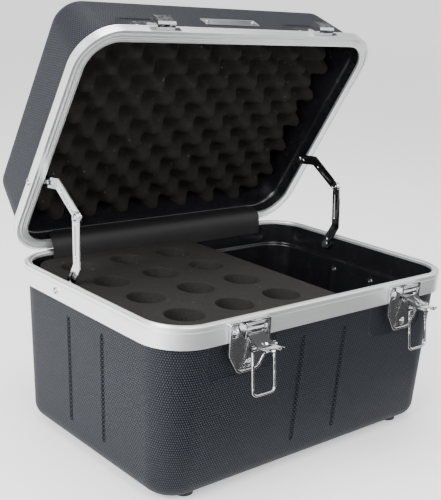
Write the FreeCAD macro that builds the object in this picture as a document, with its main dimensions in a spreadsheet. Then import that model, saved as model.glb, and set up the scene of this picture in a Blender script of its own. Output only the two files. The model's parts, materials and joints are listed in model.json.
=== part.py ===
"""Hard carry case with twelve foam pockets, a storage compartment and a stayed lid.

Everything is drawn in case space: x to the right, y to the rear, z up, with z = 0 at the top of
the base rim and x = y = 0 at the middle of the base, and the lid drawn shut.  Placements then
raise the whole case on to its feet and swing the lid group open about the hinge pin.
"""
import FreeCAD
import Part
import math
import os
import re
import Sketcher

from FreeCAD import Placement, Rotation, Vector

X_AXIS, Y_AXIS, Z_AXIS = Vector(1, 0, 0), Vector(0, 1, 0), Vector(0, 0, 1)
SIDES = {"left": -1, "right": 1}

# Driving dimensions, in millimetres and degrees
SIZES = {
    # whole case
    "case_width": 420,
    "case_depth": 294,
    "corner_radius": 46,
    "base_height": 182,
    "lid_height": 88,
    "base_centre_y": -11.8,
    "lid_opening": 59.5,
    # moulded shells
    "wall": 3,
    "base_inset": 4.4,
    "base_draft": 3.15,
    "base_edge_radius": 17,
    "lid_inset": 4.9,
    "lid_draft": 9.4,
    "lid_edge_radius": 15,
    "shell_gap": 0.3,
    # aluminium edge frames
    "skirt": 2,
    "base_face": 21,
    "base_lip": 8.2,
    "base_flange": 2.6,
    "return_lip": 4.8,
    "return_lip_height": 1.6,
    "tongue_inset": 3.4,
    "tongue_thick": 1.6,
    "tongue_height": 2,
    "tongue_clearance": 0.35,
    "face_groove_top": 3.6,
    "face_groove": 1,
    "face_groove_depth": 0.6,
    "rim_gap": 0.3,
    "lid_face": 10.4,
    "lid_lip": 13,
    "lid_flange": 3,
    "rim_line": 0.9,
    "rim_line_depth": 0.6,
    # grooves and recesses in the shells
    "wall_groove": 3.4,
    "wall_groove_depth": 1.3,
    "wall_groove_top": 34,
    "wall_groove_length": 122,
    "wall_groove_spread": 31,
    "latch_recess_width": 86,
    "latch_recess_bottom": 60,
    "latch_recess_depth": 1.5,
    "keeper_recess_width": 84,
    "keeper_recess_top": 40,
    # foam
    "foam_top": 6,
    "foam_depth": 144,
    "foam_left": 189.5,
    "foam_right": 33,
    "foam_wall_gap": 8.4,
    "foam_rear_gap": 10.6,
    "foam_corner": 30,
    "pocket_radius": 20,
    "pocket_pitch_x": 65,
    "pocket_pitch_y": 62.5,
    "pocket_centre_x": -86,
    "floor_pad_top": 150.3,
    "floor_pad_bottom": 177.5,
    "floor_pad_depth": 242,
    "floor_pad_left": 183,
    "lid_foam_face": 32,
    "lid_foam_half_width": 188,
    "lid_foam_inset": 13.5,
    # feet
    "foot_radius": 10,
    "foot_height": 4,
    "foot_x": 156,
    "foot_y": 112,
    "screw_radius": 1.7,
    "screw_head_radius": 3.6,
    "screw_head": 1.8,
    # hinge
    "hinge_y": 149.8,
    "hinge_z": -1,
    "hinge_half": 160,
    "knuckle_radius": 2.3,
    "pin_radius": 1.05,
    "pin_clearance": 0.05,
    "knuckle_count": 16,
    "knuckle_gap": 0.4,
    "leaf": 1,
    "base_leaf_bottom": 18.5,
    "base_leaf_top": 3.6,
    "lid_leaf_bottom": 1.9,
    "lid_leaf_top": 9.9,
    # hinge cover strip
    "cover_half": 159,
    "cover_thick": 1,
    # lid stays
    "stay_outer": 195.6,
    "stay_thick": 2,
    "stay_gap": 0.3,
    "stay_width": 12,
    "stay_pivot_radius": 1.95,
    "stay_clearance": 0.08,
    "stay_head_radius": 4.2,
    "stay_head": 0.9,
    "base_pivot_y": 46.5,
    "base_pivot_z": -11.7,
    "lid_pivot_y": 46.7,
    "lid_pivot_z": 6.7,
    "knee_y": 35.2,
    "knee_z": 67,
    "lower_bend_y": 31,
    "lower_bend_z": 16,
    "upper_bend_y": 75,
    "upper_bend_z": 94,
    # draw latches
    "latch_x": 115,
    "plate_half_top": 26,
    "plate_half_bottom": 14,
    "plate_top": 1.5,
    "plate_shoulder": 33,
    "plate_bottom": 53,
    "plate_proud": 4,
    "sheet": 1.2,
    "bracket_half": 12,
    "bracket_front": 10,
    "bracket_bottom": 9,
    "cheek_drop": 8,
    "seam": 0.4,
    "roll_inset": 0.3,
    "roll_radius": 1.1,
    "lever_pivot_out": 7.5,
    "lever_pivot_z": -13.5,
    "lever_pin_radius": 1.4,
    "lever_half": 10.4,
    "lever_rest": 60.8,
    "lever_barrel": 3.2,
    "bail_pivot_drop": 16.6,
    "bail_pin_radius": 1.3,
    "bail_wire": 1.4,
    "bail_half": 13.8,
    "bail_length": 46.2,
    "bail_rest": 6.6,
    "bail_bend": 4.6,
    "eye_radius": 2.8,
    "eye_half": 1.6,
    "leg_overlap": 0.6,
    "pin_end": 0.4,
    "pin_running": 0.08,
    # keepers and badge on the lid front
    "hook_half": 11.3,
    "wing_half": 27,
    "wing_height": 21,
    "wing_foot": 11.5,
    "badge_width": 78,
    "badge_height": 15,
    "badge_centre": 38,
    "badge_thick": 1,
    # carry handle on the lid top
    "handle_half": 62,
    "handle_reach": 46,
    "handle_rise": 8,
    "handle_wire": 3,
    "handle_bend": 12,
    "handle_pivot_y": -22,
    "grip_radius": 7,
    "grip_half": 46,
    "bracket_plate": 1.5,
    # rivets
    "rivet_radius": 1.5,
    "rivet_head": 3.2,
    "rivet_rise": 1.2,
}

doc = FreeCAD.newDocument("carry_case")
sheet = doc.addObject("Spreadsheet::Sheet", "sizes")
for row, (alias, number) in enumerate(SIZES.items(), start=1):
    sheet.set(f"A{row}", alias)
    sheet.set(f"B{row}", str(number))
    sheet.setAlias(f"B{row}", alias)
doc.recompute()


# ---------------------------------------------------------------- helpers
def bound(text):
    """The expression with every size name pointing at the sheet."""
    def point(match):
        word = match.group()
        return "sizes." + word if word in SIZES else word
    return re.sub(r"[a-z_]+", point, str(text))


def value(text):
    """The number that an expression gives now."""
    found = sheet.evalExpression(bound(text))
    return float(getattr(found, "Value", found))


def bind(item, **expressions):
    for name, text in expressions.items():
        item.setExpression(name.replace("__", "."), bound(text))


def box(low, high, name="block"):
    """A box between two corners that are given as expressions."""
    item = doc.addObject("Part::Box", name)
    for axis, size, a, b in zip("xyz", ("Length", "Width", "Height"), low, high):
        item.setExpression(f"Placement.Base.{axis}", bound(a))
        item.setExpression(size, bound(f"({b}) - ({a})"))
    return item


def rod(start, direction, radius, length, name="rod"):
    """A cylinder from a start point along an axis."""
    item = doc.addObject("Part::Cylinder", name)
    bind(item, Radius=radius, Height=length)
    item.Placement = Placement(Vector(*start), Rotation(Z_AXIS, direction))
    return item


def fuse(items, name="joined"):
    if len(items) == 1:
        return items[0]
    item = doc.addObject("Part::MultiFuse", name)
    item.Shapes = items
    return item


def cut(base, tools, name="shape"):
    tool = tools[0] if len(tools) == 1 else fuse(tools, "tools")
    item = doc.addObject("Part::Cut", name)
    item.Base = base
    item.Tool = tool
    return item


def new_body(name):
    return doc.addObject("PartDesign::Body", name + "_body")


def new_sketch(body, role, offset="0"):
    """A sketch on one of the body's own planes, moved along the plane's normal."""
    sketch = body.newObject("Sketcher::SketchObject", "outline")
    plane = [f for f in body.Origin.OriginFeatures if f.Role == role][0]
    sketch.AttachmentSupport = (plane, [""])
    sketch.MapMode = "FlatFace"
    sketch.setExpression("AttachmentOffset.Base.z", bound(offset))
    return sketch


def add_rounded_rectangle(sketch, width, depth, radius):
    """A centred rectangle with round corners, driven by three expressions."""
    half_w, half_d, r = value(width) / 2, value(depth) / 2, value(radius)
    first = sketch.GeometryCount
    corners = [(1, -1), (1, 1), (-1, 1), (-1, -1)]
    for i, (sx, sy) in enumerate(corners):
        px, py = corners[i - 1]
        start = Vector(px * half_w, py * half_d, 0)
        finish = Vector(sx * half_w, sy * half_d, 0)
        along = (finish - start).normalize() * r
        sketch.addGeometry(Part.LineSegment(start + along, finish - along), False)
        centre = Vector(sx * (half_w - r), sy * (half_d - r), 0)
        turn = math.radians(90 * i - 90)
        arc = Part.ArcOfCircle(Part.Circle(centre, Z_AXIS, r), turn, turn + math.pi / 2)
        sketch.addGeometry(arc, False)
    Con = Sketcher.Constraint
    for i in range(4):
        line, arc, after = first + 2 * i, first + 2 * i + 1, first + (2 * i + 2) % 8
        sketch.addConstraint(Con("Tangent", line, 2, arc, 1))
        sketch.addConstraint(Con("Tangent", arc, 2, after, 1))
        if i > 1:
            sketch.addConstraint(Con("Horizontal" if i % 2 == 0 else "Vertical", line))
        if i:
            sketch.addConstraint(Con("Equal", first + 1, arc))
    sketch.addConstraint(Con("Symmetric", first, 1, first, 2, -2))
    sketch.addConstraint(Con("Symmetric", first + 2, 1, first + 2, 2, -1))
    sizes = (
        (Con("Radius", first + 1, r), radius),
        (Con("DistanceX", first + 6, 1, first + 2, 1, 2 * half_w), width),
        (Con("DistanceY", first, 1, first + 4, 1, 2 * half_d), depth),
    )
    for constraint, text in sizes:
        index = sketch.addConstraint(constraint)
        sketch.setExpression(f"Constraints[{index}]", bound(text))


def pin_point(sketch, geometry, end, x, y):
    """Holds one end of a sketch element at two expressions from the origin."""
    for kind, text in (("DistanceX", x), ("DistanceY", y)):
        number = value(text)
        if abs(number) < 1e-9:
            other = -2 if kind == "DistanceX" else -1
            sketch.addConstraint(Sketcher.Constraint("PointOnObject", geometry, end, other))
            continue
        index = sketch.addConstraint(Sketcher.Constraint(kind, -1, 1, geometry, end, number))
        sketch.setExpression(f"Constraints[{index}]", bound(text))


def add_outline(sketch, points):
    """A closed outline of straight edges through points given as expressions."""
    first = sketch.GeometryCount
    places = [Vector(value(x), value(y), 0) for x, y in points]
    count = len(points)
    for i in range(count):
        sketch.addGeometry(Part.LineSegment(places[i], places[(i + 1) % count]), False)
    for i in range(count):
        joint = (first + i, 2, first + (i + 1) % count, 1)
        sketch.addConstraint(Sketcher.Constraint("Coincident", *joint))
    for i, (x, y) in enumerate(points):
        pin_point(sketch, first + i, 1, x, y)


def add_circle(sketch, x, y, radius):
    circle = Part.Circle(Vector(value(x), value(y), 0), Z_AXIS, value(radius))
    geometry = sketch.addGeometry(circle, False)
    pin_point(sketch, geometry, 3, x, y)
    index = sketch.addConstraint(Sketcher.Constraint("Radius", geometry, value(radius)))
    sketch.setExpression(f"Constraints[{index}]", bound(radius))


def pad(body, sketch, length, reverse=False):
    feature = body.newObject("PartDesign::Pad", "pad")
    feature.Profile = sketch
    feature.Reversed = reverse
    bind(feature, Length=length)
    doc.recompute()
    return feature


def pocket(body, sketch, length, reverse=False):
    """A pocket that has to take material away."""
    before = body.Shape.Volume
    feature = body.newObject("PartDesign::Pocket", "pocket")
    feature.Profile = sketch
    feature.Reversed = reverse
    bind(feature, Length=length)
    doc.recompute()
    if body.Shape.Volume >= before - 1e-6:
        raise RuntimeError(f"a pocket in {body.Name} cuts nothing")
    return feature


def ring(body, outer, inner, low, high):
    """A rectangular band that follows the case's outline between two insets."""
    sketch = new_sketch(body, "XY_Plane", low)
    for inset in (outer, inner):
        add_rounded_rectangle(
            sketch,
            f"case_width - 2 * ({inset})",
            f"case_depth - 2 * ({inset})",
            f"corner_radius - ({inset})",
        )
    return sketch, f"({high}) - ({low})"


def ring_pad(body, outer, inner, low, high):
    sketch, length = ring(body, outer, inner, low, high)
    return pad(body, sketch, length)


def ring_pocket(body, outer, inner, low, high):
    sketch, length = ring(body, outer, inner, low, high)
    return pocket(body, sketch, length, reverse=True)


def faces_where(shape, test):
    return [f"Face{i}" for i, face in enumerate(shape.Faces, start=1) if test(face)]


def edges_where(shape, test):
    return [f"Edge{i}" for i, edge in enumerate(shape.Edges, start=1) if test(edge)]


def is_level(face, z):
    box_z = face.BoundBox
    return abs(box_z.ZMin - z) < 1e-4 and abs(box_z.ZMax - z) < 1e-4


def draft_sides(body, base, neutral, angle, chosen=None, reverse=False):
    """Tilts the upright faces about a level face."""
    feature = body.newObject("PartDesign::Draft", "draft")
    upright = chosen or (lambda face: face.BoundBox.ZLength > 1)
    feature.Base = (base, faces_where(base.Shape, upright))
    feature.NeutralPlane = (base, faces_where(base.Shape, lambda face: is_level(face, neutral)))
    feature.Reversed = reverse
    bind(feature, Angle=angle)
    doc.recompute()
    return feature


def round_edges(body, base, test, radius):
    feature = body.newObject("PartDesign::Fillet", "fillet")
    feature.Base = (base, edges_where(base.Shape, test))
    bind(feature, Radius=radius)
    doc.recompute()
    return feature


def hollow(body, base, open_z, thickness):
    feature = body.newObject("PartDesign::Thickness", "hollow")
    feature.Base = (base, faces_where(base.Shape, lambda face: is_level(face, open_z)))
    feature.Mode = "Skin"
    feature.Join = "Intersection"
    feature.Reversed = True
    bind(feature, Value=thickness)
    doc.recompute()
    return feature


# ---------------------------------------------------------------- groups and placements
raise_base = Placement(
    Vector(0, value("base_centre_y"), value("base_height + foot_height")), Rotation()
)
pin_line = Vector(0, value("hinge_y"), value("hinge_z"))
open_lid = Placement(Vector(), Rotation(X_AXIS, -value("lid_opening")), pin_line)
GROUPS = {"base": raise_base, "lid": raise_base.multiply(open_lid)}
nodes = {}


def finish(item, label, group):
    """Gives a sub-part its own label and its place in the standing, open case."""
    item.Label = label
    item.Placement = GROUPS[group].multiply(item.Placement)
    nodes[label] = item
    return item


def feature_of(shape, name):
    item = doc.addObject("Part::Feature", name)
    item.Shape = shape
    return item


def dome(place, direction, head, rise, shank_radius, shank):
    """A rivet: a domed head that rises along a direction, and a shank the other way."""
    sphere = (head * head + rise * rise) / (2 * rise)
    angle = math.degrees(math.asin((sphere - rise) / sphere))
    cap = Part.makeSphere(sphere, Vector(), Z_AXIS, angle, 90, 360)
    cap.translate(Vector(0, 0, rise - sphere))
    rivet = cap.fuse(Part.makeCylinder(shank_radius, shank, Vector(0, 0, -shank), Z_AXIS))
    rivet.Placement = Placement(place, Rotation(Z_AXIS, direction))
    return rivet


def rivets(places, direction, shank, head="rivet_head", rise="rivet_rise"):
    """Identical rivets as separate solids."""
    sizes = value(head), value(rise), value("rivet_radius"), shank
    return Part.makeCompound([dome(place, direction, *sizes) for place in places])


def drills(places, direction, depth, radius="rivet_radius"):
    """Straight drills that open the holes for rivets, from each place against a direction."""
    tools = []
    for place in places:
        start = place + direction * 0.5
        tools.append(rod(start, direction * -1, radius, str(depth + 0.5), "drill"))
    return tools


# ---------------------------------------------------------------- moulded shells
def tapered_tray(name, inset, near, far, draft, edge_radius):
    """A drafted tray that opens at the rim and is closed at the far end."""
    body = new_body(name)
    downward = value(far) < value(near)
    sketch = new_sketch(body, "XY_Plane", near)
    add_rounded_rectangle(
        sketch,
        f"case_width - 2 * {inset}",
        f"case_depth - 2 * {inset}",
        f"corner_radius - {inset}",
    )
    length = f"({near}) - ({far})" if downward else f"({far}) - ({near})"
    block = pad(body, sketch, length, reverse=downward)
    drafted = draft_sides(body, block, value(near), draft, reverse=not downward)
    if drafted.Shape.Volume >= block.Shape.Volume:
        drafted.Reversed = not drafted.Reversed
        doc.recompute()
    end = value(far)
    rounded = round_edges(
        body,
        drafted,
        lambda edge: abs(edge.BoundBox.ZMin - end) < 1e-4 and edge.BoundBox.ZLength < 1e-4,
        edge_radius,
    )
    hollow(body, rounded, value(near), "wall")
    return body


def wall_place(inset, draft, start_z, z, side, along):
    """A point on a drafted outer wall and the turn that lays a cutter on it.

    side is front, rear, left or right, and along is the distance sideways on that wall.
    """
    lean = math.tan(math.radians(value(draft)))
    offset = value(inset) + lean * abs(z - value(start_z))
    tilt = value(draft) * (1 if z < value(start_z) else -1)
    half_d, half_w = value("case_depth") / 2, value("case_width") / 2
    turn = {"front": 0, "right": 90, "rear": 180, "left": -90}[side]
    reach = half_d if side in ("front", "rear") else half_w
    spot = Rotation(Z_AXIS, turn).multVec(Vector(along, -(reach - offset), z))
    return Placement(spot, Rotation(Z_AXIS, turn).multiply(Rotation(X_AXIS, tilt)))


def wall_block(place, width, out, into, height, name="cutter"):
    """A block on a drafted wall, from its place upwards, reaching out of and into the wall."""
    item = doc.addObject("Part::Box", name)
    bind(item, Length=width, Width=f"({out}) + ({into})", Height=height)
    shift = Placement(Vector(-value(width) / 2, -value(out), 0), Rotation())
    item.Placement = place.multiply(shift)
    return item


BASE_TOP = "-(base_flange + shell_gap)"
LID_START = "rim_gap + lid_flange + shell_gap"


def make_base_shell():
    tray = tapered_tray(
        "base_shell", "base_inset", BASE_TOP, "-base_height", "base_draft", "base_edge_radius"
    )
    wall = ("base_inset", "base_draft", BASE_TOP)
    low = -value("wall_groove_top + wall_groove_length")
    cutters = []
    for side in ("front", "rear", "left", "right"):
        for sign in (-1, 1):
            place = wall_place(*wall, low, side, sign * value("wall_groove_spread"))
            size = ("wall_groove", "2", "wall_groove_depth", "wall_groove_length")
            cutters.append(wall_block(place, *size))
    for sign in (-1, 1):
        low = -value("latch_recess_bottom")
        place = wall_place(*wall, low, "front", sign * value("latch_x"))
        height = "latch_recess_bottom - base_face + 1"
        cutters.append(wall_block(place, "latch_recess_width", "2", "latch_recess_depth", height))
        stud = Vector(sign * value("case_width / 2"), value("base_pivot_y"), value("base_pivot_z"))
        inward = X_AXIS * -sign
        cutters.append(rod(stud, inward, "stay_head_radius", "12", "stud_hole"))
    for place in foot_places():
        cutters.append(rod(place - Z_AXIS, Z_AXIS, "screw_radius + 0.05", "6", "screw_hole"))
    finish(cut(tray, cutters, "base_shell"), "base_shell", "base")


def make_lid_shell():
    tray = tapered_tray(
        "lid_shell", "lid_inset", LID_START, "lid_height", "lid_draft", "lid_edge_radius"
    )
    cutters = []
    for sign in (-1, 1):
        low = value("lid_face + rim_gap") - 1
        place = wall_place("lid_inset", "lid_draft", LID_START, low, "front", sign * value("latch_x"))
        height = "keeper_recess_top - lid_face"
        cutters.append(wall_block(place, "keeper_recess_width", "3", "latch_recess_depth", height))
        stud = Vector(sign * value("case_width / 2"), value("lid_pivot_y"), value("lid_pivot_z"))
        cutters.append(rod(stud, X_AXIS * -sign, "stay_pivot_radius + 0.9", "16", "stud_hole"))
    finish(cut(tray, cutters, "lid_shell"), "lid_shell", "lid")


# ---------------------------------------------------------------- aluminium edge frames
def rear_clearing(body, low, high):
    """Takes the rim's ridges away where the hinge cover passes over the rear."""
    sketch = new_sketch(body, "XY_Plane", low)
    rear, inner = "case_depth / 2 + 1", "case_depth / 2 - base_lip - 1"
    add_outline(
        sketch,
        [("-hinge_half", inner), ("hinge_half", inner), ("hinge_half", rear), ("-hinge_half", rear)],
    )
    pocket(body, sketch, f"({high}) - ({low})", reverse=True)


def make_base_frame():
    body = new_body("base_frame")
    ring_pad(body, "0", "skirt", "-base_face", "0")
    ring_pad(body, "0", "base_lip", "-base_flange", "0")
    ring_pad(body, "0", "return_lip", "-base_face", "return_lip_height - base_face")
    ring_pad(body, "tongue_inset", "tongue_inset + tongue_thick", "0", "tongue_height")
    groove = "-face_groove_top"
    ring_pocket(body, "-1", "face_groove_depth", f"{groove} - face_groove", groove)
    rear_clearing(body, "0", "tongue_height + 1")
    finish(body, "base_edge_frame", "base")


def make_lid_frame():
    body = new_body("lid_frame")
    top = "rim_gap + lid_face"
    ring_pad(body, "0", "skirt", "rim_gap", top)
    ring_pad(body, "0", "lid_lip", "rim_gap", "rim_gap + lid_flange")
    outer = "tongue_inset - tongue_clearance"
    inner = "tongue_inset + tongue_thick + tongue_clearance"
    ring_pocket(body, outer, inner, "rim_gap", "tongue_height + tongue_clearance")
    for inset in ("7.4", "9.6"):
        ring_pocket(body, inset, f"{inset} + rim_line", "rim_gap", "rim_gap + rim_line_depth")
    groove = "rim_gap + lid_face - 2"
    ring_pocket(body, "-1", "face_groove_depth", f"{groove} - face_groove", groove)
    finish(body, "lid_edge_frame", "lid")


# ---------------------------------------------------------------- foam
def pocket_places():
    for column in (-1, 0, 1):
        for line in (-1.5, -0.5, 0.5, 1.5):
            yield f"pocket_centre_x + {column} * pocket_pitch_x", f"{line} * pocket_pitch_y"


def rectangle(sketch, left, right, front, rear):
    add_outline(sketch, [(left, front), (right, front), (right, rear), (left, rear)])


def left_corners(edge):
    box_e = edge.BoundBox
    return box_e.ZLength > 10 and box_e.XLength < 1e-3 and box_e.XMax < -100


def make_foam():
    body = new_body("foam_block")
    sketch = new_sketch(body, "XY_Plane", "-foam_top")
    front, rear = "foam_wall_gap - case_depth / 2", "case_depth / 2 - foam_rear_gap"
    rectangle(sketch, "-foam_left", "foam_right", front, rear)
    block = pad(body, sketch, "foam_depth", reverse=True)
    tilt = draft_sides(
        body,
        block,
        -value("foam_top"),
        "base_draft",
        chosen=lambda face: face.BoundBox.YLength < 1e-3,
    )
    if tilt.Shape.Volume >= block.Shape.Volume:
        tilt.Reversed = not tilt.Reversed
        doc.recompute()
    round_edges(body, tilt, left_corners, "foam_corner")
    holes = new_sketch(body, "XY_Plane", "-foam_top")
    for x, y in pocket_places():
        add_circle(holes, x, y, "pocket_radius")
    pocket(body, holes, "foam_depth")
    finish(body, "foam_block", "base")

    floor = new_body("foam_floor_pad")
    sketch = new_sketch(floor, "XY_Plane", "-floor_pad_bottom")
    rectangle(sketch, "-floor_pad_left", "foam_right", "-floor_pad_depth / 2", "floor_pad_depth / 2")
    block = pad(floor, sketch, "floor_pad_bottom - floor_pad_top")
    round_edges(floor, block, left_corners, "foam_corner")
    finish(floor, "foam_floor_pad", "base")


def make_lid_foam():
    body = new_body("lid_foam")
    sketch = new_sketch(body, "XY_Plane", "lid_foam_face")
    add_rounded_rectangle(
        sketch,
        "2 * lid_foam_half_width",
        "case_depth - 2 * lid_foam_inset",
        "corner_radius - lid_foam_inset",
    )
    block = pad(body, sketch, "lid_height - wall - 0.3 - lid_foam_face")
    tilt = draft_sides(body, block, value("lid_foam_face"), "lid_draft", reverse=True)
    if tilt.Shape.Volume >= block.Shape.Volume:
        tilt.Reversed = not tilt.Reversed
        doc.recompute()
    top = value("lid_height - wall - 0.3")
    round_edges(
        body,
        tilt,
        lambda edge: abs(edge.BoundBox.ZMin - top) < 1e-4,
        "lid_edge_radius - wall + 2",
    )
    finish(body, "lid_foam", "lid")


# ---------------------------------------------------------------- feet
def foot_places():
    floor = value("-base_height")
    for sx in (-1, 1):
        for sy in (-1, 1):
            yield Vector(sx * value("foot_x"), sy * value("foot_y"), floor)


def make_feet():
    feet, tools, screws = [], [], []
    for place in foot_places():
        feet.append(rod(place, Z_AXIS * -1, "foot_radius", "foot_height", "foot"))
        bottom = place - Z_AXIS * value("foot_height")
        tools.append(rod(bottom, Z_AXIS, "screw_head_radius + 0.4", "screw_head + 0.4", "recess"))
        tools.append(rod(bottom, Z_AXIS, "screw_radius + 0.05", "foot_height + 1", "bore"))
        seat = bottom + Z_AXIS * value("screw_head + 0.4")
        head = rod(seat, Z_AXIS * -1, "screw_head_radius", "screw_head", "head")
        shank = rod(seat, Z_AXIS, "screw_radius", "foot_height - screw_head + 1.4", "shank")
        screws.append(fuse([head, shank], "screw"))
    feet_group = doc.addObject("Part::Compound", "feet")
    feet_group.Links = feet
    finish(cut(feet_group, tools, "rubber_feet"), "rubber_feet", "base")
    screw_group = doc.addObject("Part::Compound", "screws")
    screw_group.Links = screws
    finish(screw_group, "foot_screws", "base")


# ---------------------------------------------------------------- hinge
def knuckles(first):
    """Every other knuckle of the hinge, as spans along x, starting with number first."""
    pitch = value("2 * hinge_half / knuckle_count")
    gap = value("knuckle_gap") / 2
    for number in range(first, int(value("knuckle_count")), 2):
        start = -value("hinge_half") + number * pitch
        yield start + gap, start + pitch - gap


def hinge_rivet_places(z):
    pitch = value("2 * hinge_half / knuckle_count")
    face = value("case_depth / 2 + 0.15 + leaf")
    for number in range(8):
        yield Vector(-value("hinge_half") + (2 * number + 1) * pitch, face, z)


def make_leaf(label, group, first, low, high, tab_low, tab_high, rivet_z):
    """One leaf of the long hinge with its knuckles, drilled for its rivets."""
    face = "case_depth / 2 + 0.15"
    pieces = [box(("-hinge_half", face, low), ("hinge_half", f"{face} + leaf", high), "leaf")]
    bores = []
    for start, stop in knuckles(first):
        low_tab, high_tab = (str(start), face, tab_low), (str(stop), f"{face} + leaf", tab_high)
        pieces.append(box(low_tab, high_tab, "tab"))
        centre = Vector(start, value("hinge_y"), value("hinge_z"))
        pieces.append(rod(centre, X_AXIS, "knuckle_radius", str(stop - start), "knuckle"))
    centre = Vector(-value("hinge_half") - 1, value("hinge_y"), value("hinge_z"))
    bores.append(rod(centre, X_AXIS, "pin_radius + pin_clearance", "2 * hinge_half + 2", "bore"))
    places = list(hinge_rivet_places(rivet_z))
    bores += drills(places, Y_AXIS, value("leaf") + 0.2)
    finish(cut(fuse(pieces), bores, label), label, group)
    rivet_group = feature_of(rivets(places, Y_AXIS, value("leaf + 0.15"), "2.6", "1"), label + "_rivets")
    finish(rivet_group, label + "_rivets", group)


def make_hinge():
    make_leaf(
        "hinge_leaf_base", "base", 0, "-base_leaf_bottom", "-base_leaf_top", "-base_leaf_top",
        "hinge_z - 0.4", -value("base_leaf_bottom + base_leaf_top") / 2,
    )
    make_leaf(
        "hinge_leaf_lid", "lid", 1, "lid_leaf_bottom", "lid_leaf_top", "hinge_z + 0.4",
        "lid_leaf_bottom", value("lid_leaf_bottom + lid_leaf_top") / 2 + 0.6,
    )
    start = Vector(-value("hinge_half"), value("hinge_y"), value("hinge_z"))
    finish(rod(start, X_AXIS, "pin_radius", "2 * hinge_half", "hinge_pin"), "hinge_pin", "base")


def make_hinge_cover():
    """The flexible strip that bridges base and lid inside the rear, as it lies when open."""
    inner = value("case_depth / 2 - base_lip") - 0.5
    lid_edge = Vector(0, value("case_depth / 2 - lid_lip"), value("rim_gap"))
    lid_top = lid_edge + Vector(0, 0, value("lid_flange"))
    bend = open_lid.multVec(lid_edge + Vector(0, -0.5, -0.3))
    after = open_lid.multVec(lid_top + Vector(0, -0.6, 0.6))
    end = open_lid.multVec(lid_top + Vector(0, 4.4, 1.0))
    path = [Vector(0, inner, -14), Vector(0, inner, 1), bend, after, end]
    spine = Part.makePolygon(path)
    thick = value("cover_thick")
    back = [point + Vector(0, -thick, 0) for point in path[:2]]
    back += [bend + Vector(0, -thick * 0.9, 0.3), after + Vector(0, -0.5, thick), end + Vector(0, 0, thick)]
    outline = Part.makePolygon(path + back[::-1] + [path[0]])
    strip = Part.Face(outline).extrude(X_AXIS * value("2 * cover_half"))
    strip.translate(X_AXIS * -value("cover_half"))
    if spine.Length < 20:
        raise RuntimeError("the hinge cover is shorter than the gap that it bridges")
    finish(feature_of(strip, "hinge_cover"), "hinge_cover", "base")


# ---------------------------------------------------------------- lid stays
def turn_about(point, centre, degrees):
    return centre + Rotation(X_AXIS, degrees).multVec(point - centre)


def arm(points, x_low, name):
    """A flat dog-leg arm through three points, with round ends and a hole at both ends."""
    pieces = []
    for point in points:
        start = Vector(x_low, point.y, point.z)
        pieces.append(rod(start, X_AXIS, "stay_width / 2", "stay_thick", "arm_end"))
    for start, stop in zip(points, points[1:]):
        run = stop - start
        block = doc.addObject("Part::Box", "arm_run")
        bind(block, Length="stay_thick", Width=str(run.Length), Height="stay_width")
        turn = Rotation(X_AXIS, math.degrees(math.atan2(run.z, run.y)))
        corner = Vector(0, 0, -value("stay_width / 2"))
        place = Vector(x_low, start.y, start.z) + turn.multVec(corner)
        block.Placement = Placement(place, turn)
        pieces.append(block)
    bores = []
    for point in (points[0], points[-1]):
        start = Vector(x_low - 1, point.y, point.z)
        bores.append(rod(start, X_AXIS, "stay_pivot_radius + stay_clearance", "stay_thick + 2", "bore"))
    return cut(fuse(pieces), bores, name)


def stud(side, y, z, spans, name):
    """A turned stud along x from spans of (inner |x|, outer |x|, radius)."""
    pieces = []
    for inner, outer, radius in spans:
        start = Vector(side * value(inner), y, z)
        length = f"({outer}) - ({inner})"
        pieces.append(rod(start, X_AXIS * side, radius, length, "step"))
    return fuse(pieces, name)


def make_stays():
    base_pivot = Vector(0, value("base_pivot_y"), value("base_pivot_z"))
    lid_pivot = Vector(0, value("lid_pivot_y"), value("lid_pivot_z"))
    end = open_lid.multVec(lid_pivot)
    knee = Vector(0, value("knee_y"), value("knee_z"))
    lower = [base_pivot, Vector(0, value("lower_bend_y"), value("lower_bend_z")), knee]
    upper = [knee, Vector(0, value("upper_bend_y"), value("upper_bend_z")), end]
    lower_in = "stay_outer - stay_thick"
    upper_out = f"{lower_in} - stay_gap"
    upper_in = f"{upper_out} - stay_thick"
    for label, side in SIDES.items():
        def x_low(inner):
            return side * value(inner) - (value("stay_thick") if side < 0 else 0)
        finish(arm(lower, x_low(lower_in), "stay_lower"), f"stay_lower_{label}", "base")
        finish(arm(upper, x_low(upper_in), "stay_upper"), f"stay_upper_{label}", "base")
        running = "stay_pivot_radius"
        base_stud = stud(
            side, base_pivot.y, base_pivot.z,
            [
                (f"{lower_in} - 0.15 - stay_head", f"{lower_in} - 0.15", "stay_head_radius"),
                (f"{lower_in} - 0.2", "stay_outer + 0.5", running),
                ("stay_outer + 0.3", "case_width / 2 - skirt", "stay_head_radius"),
            ],
            "base_stud",
        )
        finish(base_stud, f"stay_base_stud_{label}", "base")
        knee_rivet = stud(
            side, knee.y, knee.z,
            [
                (f"{upper_in} - 0.15 - stay_head", f"{upper_in} - 0.15", "stay_head_radius"),
                (f"{upper_in} - 0.2", "stay_outer", running),
                ("stay_outer", "stay_outer + stay_head", "stay_head_radius"),
            ],
            "knee_rivet",
        )
        finish(knee_rivet, f"stay_knee_rivet_{label}", "base")
        end_rivet = stud(
            side, end.y, end.z,
            [
                (f"{upper_in} - stay_head", upper_in, "stay_head_radius"),
                (upper_in, upper_out, running),
            ],
            "end_rivet",
        )
        finish(end_rivet, f"stay_end_rivet_{label}", "base")
        lid_stud = stud(
            side, lid_pivot.y, lid_pivot.z,
            [(f"{upper_out} + 0.4", "case_width / 2 - skirt", "stay_pivot_radius + 0.85")],
            "lid_stud",
        )
        finish(lid_stud, f"stay_lid_stud_{label}", "lid")


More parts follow.
